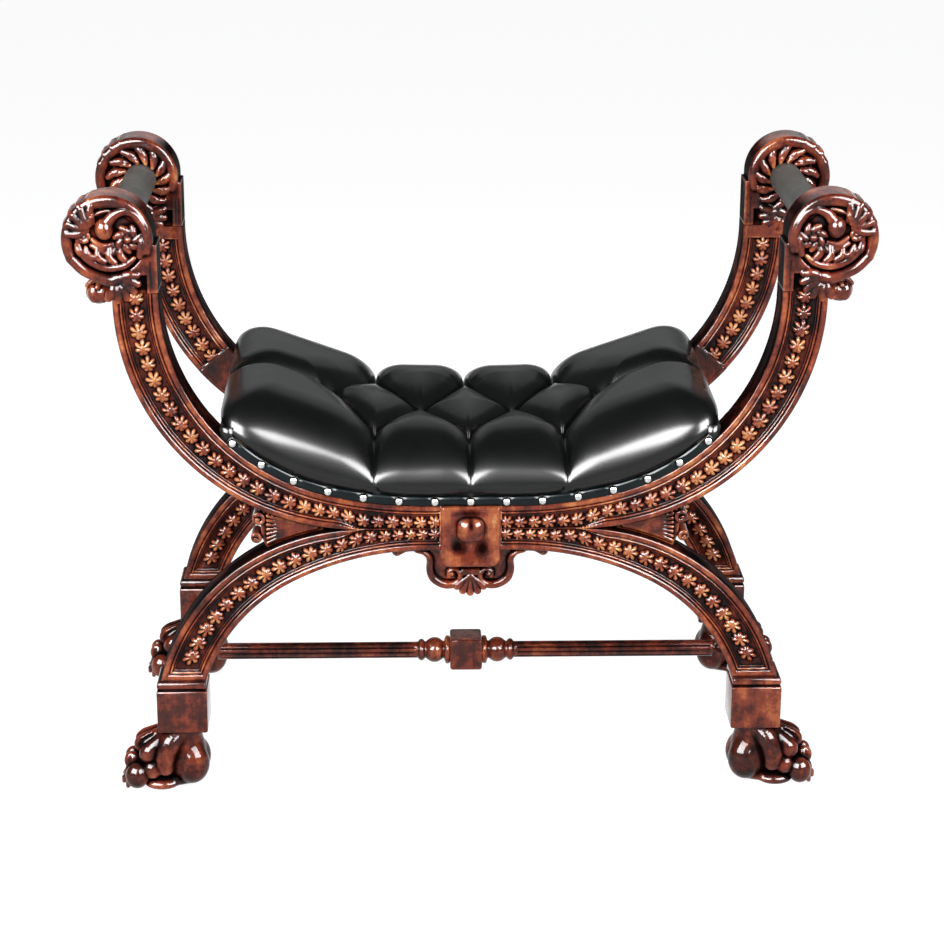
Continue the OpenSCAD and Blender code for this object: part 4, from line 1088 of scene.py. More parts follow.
# The seat: its board, and the cushion that bulges past the board on every side
SEAT_HALF = 322.0
DECK_T = 12.5
DECK_Y = FRAME_Y + MEMBER_HALF - 2
BULGE = 9.0
CUSHION_X = SEAT_HALF + BULGE
CUSHION_Y = DECK_Y + BULGE
FLAP_IN, FLAP_LIFT = 311, 0.6

# Heights above the arms' upper edge: the crown, its loss towards the ends, the puffs and the rim
CUSHION_H, CUSHION_LOSS = 80.0, 22.0
PUFF_RISE = 23.0
MIDDLE_SINK, MIDDLE_HALF = 9.0, 100
RIM_H = 13.0

# How the cushion turns down at its ends and its front, and how it folds
END_SHOULDER, FRONT_SHOULDER, SHOULDER_POWER = 75.0, 108.0, 2.0
CORNER_POWER = 4.5
END_EASE = 17.0
PLEAT_DEPTH, PLEAT_W = 33.0, 52.0
RIPPLE = 0.7
SKIRT_ROWS = 14

# The tufts: three in front, four in the middle and three behind, joined by pleats
TUFT_PITCH, TUFT_ROW, TUFT_FLOOR, TUFT_W = 128.0, 110.0, 34.0, 15.0
OUTER_ROWS = [(x, y) for x in (-1, 0, 1) for y in (-1, 1)]
TUFTS = [(x * TUFT_PITCH, y * TUFT_ROW) for x, y in OUTER_ROWS]
TUFTS += [(x * TUFT_PITCH, 0.0) for x in (-1.5, -0.5, 0.5, 1.5)]
PLEATS = [
    ((x * TUFT_PITCH, y * TUFT_ROW), ((x + s) * TUFT_PITCH, 0.0))
    for x, y in OUTER_ROWS for s in (-0.5, 0.5)
]
EDGE_PLEATS = [((x * TUFT_PITCH, y * TUFT_ROW), (x * TUFT_PITCH, y * 500.0)) for x, y in OUTER_ROWS]
EDGE_PLEATS += [((s * 1.5 * TUFT_PITCH, 0.0), (s * 700.0, 0.0)) for s in (-1, 1)]


def edge_height(x, up):
    """Height of the arms' upper edge at x, raised by up."""
    a = np.abs(x)
    turn = SEAT_X + (SEAT_R - up) * math.sin(SEAT_TURN)
    middle = SEAT_Z - np.sqrt(np.maximum((SEAT_R - up) ** 2 - (a - SEAT_X) ** 2, 0))
    side = SEAT_SIDE_Z - np.sqrt(np.maximum((SEAT_SIDE_R - up) ** 2 - (a - SEAT_SIDE_X) ** 2, 0))
    return np.where(a < SEAT_X, SEAT_LOW + up, np.where(a < turn, middle, side))


def line_distance(x, y, line):
    """Distance to a pleat and how far along it the nearest place is."""
    a, b = np.array(line[0]), np.array(line[1])
    d = b - a
    t = np.clip(((x - a[0]) * d[0] + (y - a[1]) * d[1]) / (d @ d), 0, 1)
    return np.hypot(x - a[0] - t * d[0], y - a[1] - t * d[1]), t * math.sqrt(d @ d)


def fold(gap, width, sharp=0.5):
    """1 in a crease, falling to 0 at width, as between two round pillows."""
    t = np.clip(gap / width, 0, 1)
    return 1 - (1 - (1 - t) ** 2) ** sharp


def pleat_fold(x, y, lines, width):
    """How deep the pleats are at x and y, from 0 to 1, and the small puckers beside them."""
    deepest = np.zeros(np.broadcast(x, y).shape)
    ripple = np.zeros_like(deepest)
    for k, line in enumerate(lines):
        gap, along = line_distance(x, y, line)
        deepest = np.maximum(deepest, fold(gap, width))
        pucker = np.exp(-gap / 7) * np.sin(along / 2.9 + 1.7 * k)
        ripple += pucker * smooth_step(0, 4, gap) * smooth_step(46, 12, along)
    return deepest, ripple


def past_shoulder(at, half, reach):
    """0 over the middle and 1 at half, growing over the last reach."""
    return np.clip((np.abs(at) - half + reach) / reach, 0, 1)


def shoulders(x, y):
    """How far past the end shoulder, past the front one, and past both as one round corner."""
    end = past_shoulder(x, CUSHION_X, END_SHOULDER)
    front = past_shoulder(y, CUSHION_Y, FRONT_SHOULDER)
    return end, front, (end**CORNER_POWER + front**CORNER_POWER) ** (1 / CORNER_POWER)


def falling(t):
    """1 where t is 0, falling to 0 at 1 as a round edge does."""
    return np.sqrt(np.maximum(0, 1 - t**SHOULDER_POWER))


def cushion_surface(x, y):
    """Height of the cushion's top at x and y."""
    outer_puff = np.clip((np.abs(x) - TUFT_PITCH) / (CUSHION_X - TUFT_PITCH), 0, 1)
    crown = CUSHION_H - CUSHION_LOSS * (x / CUSHION_X) ** 2 + PUFF_RISE * np.sin(math.pi * outer_puff)
    sunk = MIDDLE_SINK * np.maximum(0, 1 - (y / TUFT_ROW) ** 2)
    crown = crown - sunk * np.maximum(0, 1 - (x / MIDDLE_HALF) ** 2)
    inner, inner_ripple = pleat_fold(x, y, PLEATS, PLEAT_W)
    outer, outer_ripple = pleat_fold(x, y, EDGE_PLEATS, PLEAT_W * 0.8)
    folds = np.maximum(inner, 0.92 * outer)
    tuft = np.min([np.hypot(x - t[0], y - t[1]) for t in TUFTS], axis=0)
    pit = (crown - PLEAT_DEPTH - TUFT_FLOOR) / (1 + (tuft / TUFT_W) ** 2)
    _, _, both = shoulders(x, y)
    edge = falling(np.minimum(both, 1))
    full = crown - PLEAT_DEPTH * folds - pit + RIPPLE * (inner_ripple + 0.6 * outer_ripple)
    full = full + 1.5 * np.sin(x / 37.0 + 1.3) * np.sin(y / 43.0 + 0.4)
    eased = np.abs(x) - END_EASE * past_shoulder(x, CUSHION_X, END_SHOULDER) ** 2
    base = edge_height(eased, DECK_T)
    return base + RIM_H + (full - RIM_H) * edge


def even_steps(half, drop, reach, step):
    """Places from -half to half, closer together where the shoulder turns down."""
    t = np.linspace(0, 1, 4000)
    z = drop * falling(past_shoulder(half * t, half, reach))
    length = np.concatenate([[0], np.cumsum(np.hypot(np.diff(half * t), np.diff(z)))])
    count = int(length[-1] / step)
    right = half * np.interp(np.linspace(0, length[-1], count + 1), length, t)
    return np.concatenate([-right[:0:-1], right])


def cushion_grid(step):
    """Places over the cushion in rows and columns, drawn in at the corners."""
    xs = even_steps(CUSHION_X, 78, END_SHOULDER, step)
    ys = even_steps(CUSHION_Y, 78, FRONT_SHOULDER, step)
    x, y = np.meshgrid(xs, ys, indexing="ij")
    end, front, both = shoulders(x, y)
    drawn = np.maximum(end, front) / np.maximum(both, 1e-9)
    x = np.where(end > 0, np.sign(x) * (CUSHION_X - END_SHOULDER * (1 - end * drawn)), x)
    y = np.where(front > 0, np.sign(y) * (CUSHION_Y - FRONT_SHOULDER * (1 - front * drawn)), y)
    return x, y


def cushion_mesh(step):
    """The top, and a skirt that draws in on its way down to the seat board."""
    x, y = cushion_grid(step)
    top = np.stack([x, y, cushion_surface(x, y)], -1).reshape(-1, 3)
    nx, ny = x.shape
    index = np.arange(nx * ny).reshape(nx, ny)
    faces = np.stack([index[:-1, :-1], index[1:, :-1], index[1:, 1:], index[:-1, 1:]], -1).reshape(-1, 4)
    rim = np.concatenate([index[:-1, 0], index[-1, :-1], index[:0:-1, -1], index[0, :0:-1]])
    edge = top[rim]
    rows = [rim]
    points = [top]
    inset, ripple = pleat_fold(edge[:, 0], edge[:, 1], EDGE_PLEATS, 40.0)
    start = nx * ny
    for f in np.linspace(0, 1, SKIRT_ROWS + 1)[1:]:
        drawn = BULGE * f**1.6 + 8.0 * inset * (1 - f**3) + 0.8 * ripple * (1 - f)
        px = edge[:, 0] * (1 - drawn / CUSHION_X)
        py = edge[:, 1] * (1 - drawn / CUSHION_Y)
        low = edge_height(px, DECK_T + 0.5)
        points.append(np.stack([px, py, low + (1 - f) * (edge[:, 2] - low)], -1))
        rows.append(start + np.arange(len(rim)))
        start += len(rim)
    sides = []
    for upper, lower in zip(rows[:-1], rows[1:]):
        sides.append(np.stack([upper, lower, np.roll(lower, -1), np.roll(upper, -1)], -1))
    return np.concatenate(points), faces, np.concatenate(sides), rows[-1], (nx, ny)


def under_faces(rim_ids, nx, ny):
    """Strips that close the cushion's underside from front to back."""
    front = rim_ids[:nx]
    right = rim_ids[nx - 1 : nx + ny - 1]
    back = rim_ids[nx + ny - 2 : 2 * nx + ny - 2][::-1]
    left = np.append(rim_ids[2 * nx + ny - 3 :], rim_ids[0])[::-1]
    faces = [[back[i], back[i + 1], front[i + 1], front[i]] for i in range(1, nx - 2)]
    faces.append([front[-2], back[-2], *right[::-1]])
    faces.append([back[1], front[1], *left])
    return [[int(i) for i in f] for f in faces]


def end_flap(side):
    """The cover where it is turned down over the seat board's end and round its corners."""
    front = [(-DECK_Y - 1.5, FLAP_IN), (-DECK_Y, FLAP_IN), (-DECK_Y + 0.2, SEAT_HALF + 0.4)]
    rings = front + [(-y, inner) for y, inner in front[::-1]]
    outer = SEAT_HALF + 4.6
    high = float(edge_height(SEAT_HALF - END_EASE, DECK_T + 14))
    low = float(edge_height(outer, FLAP_LIFT))
    loops = []
    for y, inner in rings:
        inner_low = float(edge_height(inner, FLAP_LIFT))
        corners = ((inner, inner_low), (outer, low), (outer + 2, high), (inner, high))
        loops.append([(side * x, y, z) for x, z in corners])
    return ring_mesh(loops)


def make_cushion(material):
    points, top, sides, rim, size = cushion_mesh(2.6)
    points, faces = outward(points, top.tolist() + sides.tolist())
    parts = [(points, faces + under_faces(rim, *size))] + [end_flap(side) for side in (-1, 1)]
    piece = make_mesh("tufted_cushion", *join_parts(parts), material)
    keep(piece, "seat_leather", "seat_cushion")


# The buttons at the bottom of the tufts
UPWARD = np.eye(3)
BUTTON_R, BUTTON_H, BUTTON_SINK = 8.0, 4.2, 0.6


def dome_mesh(middle, axis_turn, radius, height, skirt):
    """A domed cap on a short skirt; it looks along +Z before axis_turn."""
    profile = [(radius * 0.8, -skirt), (radius, -skirt * 0.8), (radius, 0)]
    for t in np.linspace(0.12, 0.97, 7):
        a = t * math.pi / 2
        profile.append((radius * math.cos(a), height * math.sin(a)))
    around = 24
    turn = np.linspace(0, 2 * math.pi, around, endpoint=False)
    loops = []
    for r, h in profile:
        loops.append(np.stack([r * np.cos(turn), r * np.sin(turn), np.full(around, h)], -1))
    points, faces = ring_mesh(loops)
    return points @ np.array(axis_turn).T + middle, faces


def join_parts(parts):
    """Several solids as one mesh's points and faces."""
    points, faces, start = [], [], 0
    for p, f in parts:
        points.append(p)
        faces += [[i + start for i in face] for face in f]
        start += len(p)
    return np.concatenate(points), faces


def make_buttons(material):
    parts = []
    for x, y in TUFTS:
        z = float(cushion_surface(x, y))
        parts.append(dome_mesh((x, y, z - BUTTON_SINK), UPWARD, BUTTON_R, BUTTON_H, 1.4))
    keep(make_mesh("covered_buttons", *join_parts(parts), material), "seat_leather", "tuft_buttons")


# The trim band, gathered at each nail, and the nails
NAIL_PITCH, NAIL_PAIRS = 47.5, 7
NAIL_R, NAIL_H = 6.0, 4.2
NAILS = range(-NAIL_PAIRS, NAIL_PAIRS + 1)
BAND_Y = -MEMBER_HALF + 2
FORWARD = np.array([[1, 0, 0], [0, 0, -1], [0, 1, 0]])


def slope_at(s, up):
    """Slope of the arm's upper edge, raised by up, a length s along it."""
    arc = (SEAT_R - up) * SEAT_TURN
    first = (s - SEAT_X) / (SEAT_R - up)
    second = SEAT_TURN + (s - SEAT_X - arc) / (SEAT_SIDE_R - up)
    return np.where(s < SEAT_X, 0, np.where(s < SEAT_X + arc, first, second))


def edge_point(s, up):
    """The place a length s along the arm's upper edge, raised by up, and the slope there."""
    a = slope_at(s, up)
    x1, z1 = SEAT_X + (SEAT_R - up) * np.sin(a), SEAT_Z - (SEAT_R - up) * np.cos(a)
    x2, z2 = SEAT_SIDE_X + (SEAT_SIDE_R - up) * np.sin(a), SEAT_SIDE_Z - (SEAT_SIDE_R - up) * np.cos(a)
    x = np.where(s < SEAT_X, s, np.where(a < SEAT_TURN, x1, x2))
    z = np.where(s < SEAT_X, SEAT_LOW + up, np.where(a < SEAT_TURN, z1, z2))
    return x, z, a


def band_end():
    """Length along the edge at which the band stops, over the deck's end."""
    s = np.linspace(300, 420, 2400)
    return float(np.interp(SEAT_HALF - 1, edge_point(s, DECK_T / 2)[0], s))


def make_trim(end, leather_finish):
    """A leather band, gathered to a fold at each nail and puffed out between them."""
    last = band_end()
    along = np.linspace(-last, last, int(2 * last / 1.6))
    s, t = np.meshgrid(along, np.linspace(0, 1, 15), indexing="ij")
    nail_gap = np.min(np.abs(s[..., None] - np.array(NAILS) * NAIL_PITCH), axis=-1)
    between = np.clip(nail_gap / (NAIL_PITCH / 2), 0, 1)
    swell = 1 - np.exp(-((nail_gap / 8.5) ** 2))
    height = 0.4 + (DECK_T - 0.4 + 1.3 * np.sin(between * math.pi / 2)) * t
    belly = np.sin(math.pi * np.clip(t, 0, 1)) ** 0.6
    falls = np.exp(-(((t - 0.5) * 12 - 0.42 * nail_gap) / 1.1) ** 2)
    climbs = np.exp(-(((t - 0.5) * 12 + 0.42 * nail_gap) / 1.1) ** 2)
    crease = (falls + climbs) * np.exp(-((nail_gap - 9) / 5.5) ** 2)
    out = 0.5 + (0.7 + 2.3 * swell) * belly + 0.3 * crease * belly
    x, z, a = edge_point(np.abs(s), 0.0)
    px = np.sign(s) * (x - height * np.sin(a))
    pz = z + height * np.cos(a)
    front = np.stack([px, BAND_Y - out - 1.2, pz], -1)
    back = np.stack([px, np.full_like(px, BAND_Y), pz], -1)
    loops = np.concatenate([front, back[:, ::-1][:, [0, -1]]], axis=1)
    points, faces = to_corner(*ring_mesh(loops), ENDS[end], 0)
    piece = make_mesh(f"gathered_trim_{end}", points, faces, leather_finish)
    keep(piece, "trim_leather", f"trim_band_{end}")


def make_nails(end, metal):
    """Fifteen round heads along the trim band, dark where they meet it, as tarnish and painted shadow."""
    parts = []
    for k in NAILS:
        x, z, _ = edge_point(abs(k) * NAIL_PITCH, DECK_T / 2)
        middle = (math.copysign(float(x), k), -MEMBER_HALF - 0.6, float(z))
        parts.append(dome_mesh(middle, FORWARD, NAIL_R, NAIL_H, 2.4))
    points, faces = join_parts(parts)
    # The heads' rims are darkened, as tarnish and painted shadow
    tone = smooth_step(-MEMBER_HALF - 3.0, -MEMBER_HALF - 4.1, points[:, 1])
    points, faces = to_corner(points, faces, ENDS[end], 0)
    piece = make_mesh(f"nail_heads_{end}", points, faces, metal, tone)
    keep(piece, "nail_pewter", f"trim_nails_{end}")


# The arm rails: leather rolls, puckered at both ends, with a seam below
RAIL_X, RAIL_R = 459.0, 23.0
RAIL_SHORT = 23


def make_rails(material):
    half = FRAME_Y - RAIL_SHORT
    y = np.concatenate([[-half], np.linspace(-half + 0.4, half - 0.4, 130), [half]])
    turn = np.linspace(0, 2 * math.pi, 72, endpoint=False)
    yy, aa = np.meshgrid(y, turn, indexing="ij")
    near_end = np.minimum(yy + half, half - yy)
    pull = 1.1 * np.exp(-near_end / 9) * (1 + np.sin(9 * aa + 0.8 * np.sin(3 * aa)))
    ripple = 0.35 * np.sin(aa * 3 + yy / 31.0) * np.sin(yy / 23.0 + 1.1)
    seam = 0.9 * np.exp(-(((aa - 1.5 * math.pi) * RAIL_R / 1.6) ** 2))
    tuck = 3.0 * np.exp(-near_end / 1.2)
    r = RAIL_R - 0.6 - 0.5 * pull + ripple - seam - tuck
    rings = np.stack([RAIL_X + r * np.cos(aa), yy, SCROLL_Z + r * np.sin(aa)], -1)
    points, faces = ring_mesh(rings)
    for side, left in SIDES.items():
        p = points * ([-1, 1, 1] if left else [1, 1, 1])
        f = [face[::-1] for face in faces] if left else faces
        piece = make_mesh(f"leather_rail_{side}", p, f, material)
        keep(piece, "rail_leather", f"arm_rail_leather_{side}")


# The long stretcher: a square block, turned beads and two reeded bars
STRETCHER_Z = 114.0
STRETCHER_BLOCK = 23.0
STRETCHER_END = [(23, -3.2), (22.4, -1.4), (20.8, -0.3), (19, 0)]
STRETCHER_BEADS = [
    (23, 17.5), (24, 20), (26.5, 20.6), (29, 20), (30.5, 17), (31.5, 13.2), (32.5, 12.4), (34, 13.4),
    (36.5, 15.6), (40.5, 17.6), (45, 18.2), (49.5, 17.6), (53.5, 15.6), (56, 13.4), (57.5, 12.2),
    (58.6, 12.0), (59.6, 13.0), (61.5, 15.2), (64, 15.9), (66.5, 15.2), (68.2, 13), (69.2, 11.6),
]
# Tone by radius: dark in the reeds' grooves and the beads' necks as painted shade, light on the crowns as
# wear and painted highlight
STRETCHER_WEAR_AND_PAINTED_LIGHT = [(8, 0.4), (10.5, 0.25), (11.9, 0.66), (13, 0.5), (16, 0.66), (20, 0.72), (24, 0.62)]
BAR_R, BAR_FROM, BAR_TO = 11.9, 70, 355.5
TIP_X, TIP_R = 368.5, 8.5
REEDS, REED_DEPTH = 10, 1.5


def stretcher_bar(sign):
    """The beads, the reeded bar and the round end on one side of the block."""
    bead_at, bead_r = np.array(STRETCHER_BEADS).T
    bar_at = [np.linspace(BAR_FROM, 74, 5), np.linspace(76, 350, 60), np.linspace(351.5, BAR_TO, 5)]
    bar_at = np.concatenate(bar_at)
    tip = np.linspace(-0.48, 0.5, 9) * math.pi
    tip_r = TIP_R * np.cos(tip)
    tip_r[-1] = 3.0
    at = np.concatenate([bead_at, bar_at, TIP_X + TIP_R * np.sin(tip)])
    radius = np.concatenate([bead_r, np.full(len(bar_at), BAR_R), np.maximum(tip_r, 2.4)])
    around = 120
    turn = np.linspace(0, 2 * math.pi, around, endpoint=False)
    reeded = smooth_step(BAR_FROM, BAR_FROM + 5, at) * smooth_step(BAR_TO, BAR_TO - 4.5, at)
    reed = REED_DEPTH * (np.abs(np.sin(turn * REEDS / 2)) ** 0.55 - 1)
    r = radius[:, None] + reeded[:, None] * reed[None]
    x = np.repeat(at[:, None], around, 1) * sign
    return ring_mesh(np.stack([x, r * np.cos(turn), STRETCHER_Z + r * np.sin(turn)], -1))


def make_stretcher(wood):
    block = []
    left_end = [(-x, grow) for x, grow in STRETCHER_END]
    for x, grow in left_end + STRETCHER_END[::-1]:
        outline = rounded_square(STRETCHER_BLOCK + grow, STRETCHER_BLOCK + grow, 2.4)
        block.append([(x, p[0], STRETCHER_Z + p[1]) for p in outline])
    points, faces = join_parts([stretcher_bar(-1), stretcher_bar(1), ring_mesh(block)])
    tone = np.interp(np.hypot(points[:, 1], points[:, 2] - STRETCHER_Z), *zip(*STRETCHER_WEAR_AND_PAINTED_LIGHT))
    keep(make_mesh("turned_stretcher", points, faces, wood, tone), WOOD_SLOT, "long_stretcher")


# The cross stretchers between the foot blocks
CROSS_HALF_Y = 159.8
CROSS_HALF_W, CROSS_HALF_H = 13, 17
CROSS_TONE = 0.55


def make_cross_rails(wood):
    for side, left in SIDES.items():
        x = -BLOCK_X if left else BLOCK_X
        rings = []
        for y, grow in ((-CROSS_HALF_Y, -0.6), (-158, 0), (158, 0), (CROSS_HALF_Y, -0.6)):
            outline = rounded_square(CROSS_HALF_W + grow, CROSS_HALF_H + grow, 3)
            rings.append([(x + p[0], y, STRETCHER_Z + p[1]) for p in outline])
        points, faces = ring_mesh(rings)
        tone = np.full(len(points), CROSS_TONE)
        piece = make_mesh(f"cross_rail_{side}", points, faces, wood, tone)
        keep(piece, WOOD_SLOT, f"cross_stretcher_{side}")


# The camera, lights, floor and background
CAMERA_PLACE = (-0.0922, -3.3498, 1.5044)
CAMERA_YAW, CAMERA_PITCH, CAMERA_ROLL = -0.0299, 0.3227, 0.004
BENCH_MIDDLE = (0, 0, 0.45)
WHITE, BLACK = (1, 1, 1, 1), (0, 0, 0, 1)


def add_camera():
    """The photograph's view: a long lens, a little above the bench and to its left."""
    camera = bpy.data.cameras.new("camera")
    camera.lens = 95.6
    camera.sensor_width = 36.0
    camera.clip_end = 50.0
    holder = add_object("camera", camera)
    level = Matrix.Rotation(CAMERA_YAW, 4, "Z") @ Matrix.Rotation(math.pi / 2 - CAMERA_PITCH, 4, "X")
    turn = level @ Matrix.Rotation(CAMERA_ROLL, 4, "Z")
    holder.matrix_world = Matrix.Translation(CAMERA_PLACE) @ turn
    bpy.context.scene.camera = holder


def add_lamp(name, place, target, size, power, mirrored=True, lights=True):
    """An area lamp; mirrored says whether gloss shows it, lights whether it lights plain surfaces."""
    lamp = bpy.data.lights.new(name, "AREA")
    lamp.shape = "RECTANGLE"
    lamp.size, lamp.size_y = size
    lamp.energy = power
    holder = add_object(name, lamp)
    holder.visible_glossy = mirrored
    holder.visible_diffuse = lights
    holder.location = place
    holder.rotation_euler = (Vector(target) - Vector(place)).to_track_quat("-Z", "Y").to_euler()


def add_lamps():
    """Three lamps light the bench; three large ones only shine in its varnish and leather."""
    add_lamp("left", (-1.7, -2.4, 2.1), BENCH_MIDDLE, (1.0, 1.0), 56, mirrored=False)
    add_lamp("right", (1.8, -2.2, 2.0), BENCH_MIDDLE, (0.9, 0.9), 38, mirrored=False)
    add_lamp("top", (0.2, 0.9, 2.7), (0, 0, 0.5), (1.4, 0.7), 22, mirrored=False)
    add_lamp("left_sheen", (-1.8, -2.4, 2.2), BENCH_MIDDLE, (3.0, 2.4), 1300, lights=False)
    add_lamp("right_sheen", (1.9, -2.2, 2.1), BENCH_MIDDLE, (2.4, 2.2), 850, lights=False)
    add_lamp("rear_sheen", (0, 3.2, 2.0), BENCH_MIDDLE, (3.6, 2.0), 9, lights=False)


# Nodes
def set_sockets(node, values):
    """Sets sockets by name or number, to a plain value or to another node's output."""
    for key, value in values.items():
        if isinstance(value, bpy.types.NodeSocket):
            node.id_data.links.new(value, node.inputs[key])
        else:
            node.inputs[key].default_value = value


def add_node(tree, kind, inputs=None, **settings):
    node = tree.nodes.new(kind)
    for key, value in settings.items():
        setattr(node, key, value)
    set_sockets(node, inputs or {})
    return node


def calculate(tree, operation, first, second):
    return add_node(tree, "ShaderNodeMath", {0: first, 1: second}, operation=operation).outputs[0]


def map_range(tree, value, low, high, to_low, to_high):
    inputs = {0: value, 1: low, 2: high, 3: to_low, 4: to_high}
    return add_node(tree, "ShaderNodeMapRange", inputs).outputs[0]


def noise(tree, place, scale, detail, roughness=0.5, distortion=0.0):
    inputs = {"Vector": place, "Scale": scale, "Detail": detail}
    inputs.update({"Roughness": roughness, "Distortion": distortion})
    return add_node(tree, "ShaderNodeTexNoise", inputs).outputs[0]


def bump(tree, height, strength, distance):
    inputs = {"Height": height, "Strength": strength, "Distance": distance}
    return add_node(tree, "ShaderNodeBump", inputs).outputs[0]


def mix_shaders(tree, factor, first, second):
    return add_node(tree, "ShaderNodeMixShader", {0: factor, 1: first, 2: second}).outputs[0]


def plain_shader(tree, kind, colour, strength):
    return add_node(tree, kind, {"Color": colour, "Strength": strength}).outputs[0]


def object_place(tree):
    return add_node(tree, "ShaderNodeTexCoord").outputs["Object"]


def tone_of(tree):
    """The tone stored on a mesh: 0 in a recess, painted as shade, and 1 on a crest, painted as wear and
    highlight.
    """
    return add_node(tree, "ShaderNodeAttribute", attribute_name="tone").outputs["Fac"]


def colour_ramp(tree, factor, stops):
    ramp = add_node(tree, "ShaderNodeValToRGB", {"Fac": factor})
    ramp.color_ramp.interpolation = "EASE"
    for _ in range(len(stops) - 2):
        ramp.color_ramp.elements.new(0.5)
    for element, (at_tone, colour) in zip(ramp.color_ramp.elements, stops):
        element.position = at_tone
        element.color = (*colour, 1)
    return ramp.outputs[0]


def seen_directly(tree):
    """1 for the camera and for what reflections and glass show, 0 for light on the object."""
    path = add_node(tree, "ShaderNodeLightPath").outputs
    seen = calculate(tree, "MAXIMUM", path["Is Camera Ray"], path["Is Glossy Ray"])
    return calculate(tree, "MAXIMUM", seen, path["Is Transmission Ray"])


def add_world():
    """White behind the bench, and a faint cool light all round it."""
    world = bpy.data.worlds.new("studio")
    bpy.context.scene.world = world
    bpy.context.scene.view_settings.view_transform = "Standard"
    world.use_nodes = True
    tree = world.node_tree
    tree.nodes.clear()
    faint = plain_shader(tree, "ShaderNodeBackground", (0.92, 0.96, 1.0, 1), 0.1)
    white = plain_shader(tree, "ShaderNodeBackground", WHITE, 1.0)
    camera_ray = add_node(tree, "ShaderNodeLightPath").outputs["Is Camera Ray"]
    add_node(tree, "ShaderNodeOutputWorld", {"Surface": mix_shaders(tree, camera_ray, faint, white)})


def add_floor():
    """A grey floor that glows white where it is seen, and keeps the bench's shadow."""
    material, tree, shader = new_material("floor_white")
    set_sockets(shader, {"Base Color": (0.3, 0.3, 0.3, 1), "Roughness": 0.8, "Specular IOR Level": 0.1})
    glow = plain_shader(tree, "ShaderNodeEmission", WHITE, 0.92)
    none = plain_shader(tree, "ShaderNodeEmission", BLACK, 0.0)
    lit = mix_shaders(tree, seen_directly(tree), none, glow)
    both = add_node(tree, "ShaderNodeAddShader", {0: shader.outputs[0], 1: lit})
    set_sockets(tree.nodes["Material Output"], {"Surface": both.outputs[0]})
    half = 60000
    corners = [(-half, -half, 0), (half, -half, 0), (half, half, 0), (-half, half, 0)]
    floor = make_mesh("floor", corners, [[0, 1, 2, 3]], material, smooth=False)


# Finishes
MAHOGANY_COLOURS = [
    (0.0, (0.003, 0.0015, 0.0015)), (0.3, (0.012, 0.0035, 0.003)), (0.5, (0.085, 0.014, 0.008)),
    (0.66, (0.26, 0.043, 0.02)), (0.84, (0.56, 0.14, 0.05)), (1.0, (0.9, 0.4, 0.14)),
]
MAHOGANY_STRETCH = (26, 26, 5)
TARNISH_AND_SHADOW = (0.012, 0.012, 0.012, 1)


def new_material(name):
    material = bpy.data.materials.new(name)
    material.use_nodes = True
    return material, material.node_tree, material.node_tree.nodes["Principled BSDF"]


def add_group(name, inputs, outputs):
    """An empty shader node group; inputs and outputs map a name to a kind of socket."""
    group = bpy.data.node_groups.new(name, "ShaderNodeTree")
    kinds = {"float": "NodeSocketFloat", "vector": "NodeSocketVector"}
    for way, sockets in (("INPUT", inputs), ("OUTPUT", outputs)):
        for key, kind in sockets.items():
            group.interface.new_socket(key, in_out=way, socket_type=kinds[kind])
    return group, group.nodes.new("NodeGroupInput"), group.nodes.new("NodeGroupOutput")


def grain_group():
    """Long soft streaks with fine pores across them, both from 0 to 1."""
    inputs = {"Place": "vector", "Scale": "float"}
    group, start, end = add_group("wood_grain", inputs, {"Streaks": "float", "Pores": "float"})
    place, scale = start.outputs["Place"], start.outputs["Scale"]
    streaks = noise(group, place, scale, 4.0, 0.6, 0.4)
    pores = noise(group, place, calculate(group, "MULTIPLY", scale, 7.0), 3.0, 0.7)
    set_sockets(end, {"Streaks": streaks, "Pores": pores})
    return group


def use_grain(tree, grain, place, stretch, scale):
    """The grain's outputs, with its streaks along the axis that has the least stretch."""
    stretched = add_node(tree, "ShaderNodeMapping", {"Vector": place, "Scale": stretch}).outputs[0]
    return add_node(tree, "ShaderNodeGroup", {"Place": stretched, "Scale": scale}, node_tree=grain).outputs


def mahogany(name, grain, carved=True):
    """Red-brown varnished mahogany, near black in the recesses as painted shade, and golden on crests as
    wear and painted highlight.
    """
    material, tree, shader = new_material(name)
    place = object_place(tree)
    lines = use_grain(tree, grain, place, MAHOGANY_STRETCH, 3.0)
    patches = noise(tree, place, 24.0, 5.0, 0.66)
    tone = tone_of(tree) if carved else patches
    streaks = map_range(tree, lines["Streaks"], 0.3, 0.7, -0.09, 0.08)
    mottle = map_range(tree, patches, 0.34, 0.66, -0.24, 0.18)
    wear_and_painted_light = calculate(tree, "ADD", calculate(tree, "ADD", tone, streaks), mottle)
    varnish = map_range(tree, tone, 0.35, 0.62, 0.03, 1.0)
    set_sockets(shader, {
        "Base Color": colour_ramp(tree, wear_and_painted_light, MAHOGANY_COLOURS),
        "Roughness": map_range(tree, wear_and_painted_light, 0.1, 0.7, 0.6, 0.3),
        "Specular IOR Level": calculate(tree, "MULTIPLY", varnish, 0.03),
        "Coat Weight": varnish,
        "Coat Roughness": 0.08,
        "Coat IOR": 1.3,
        "Normal": bump(tree, lines["Pores"], 0.12, 0.0004),
    })
    return material


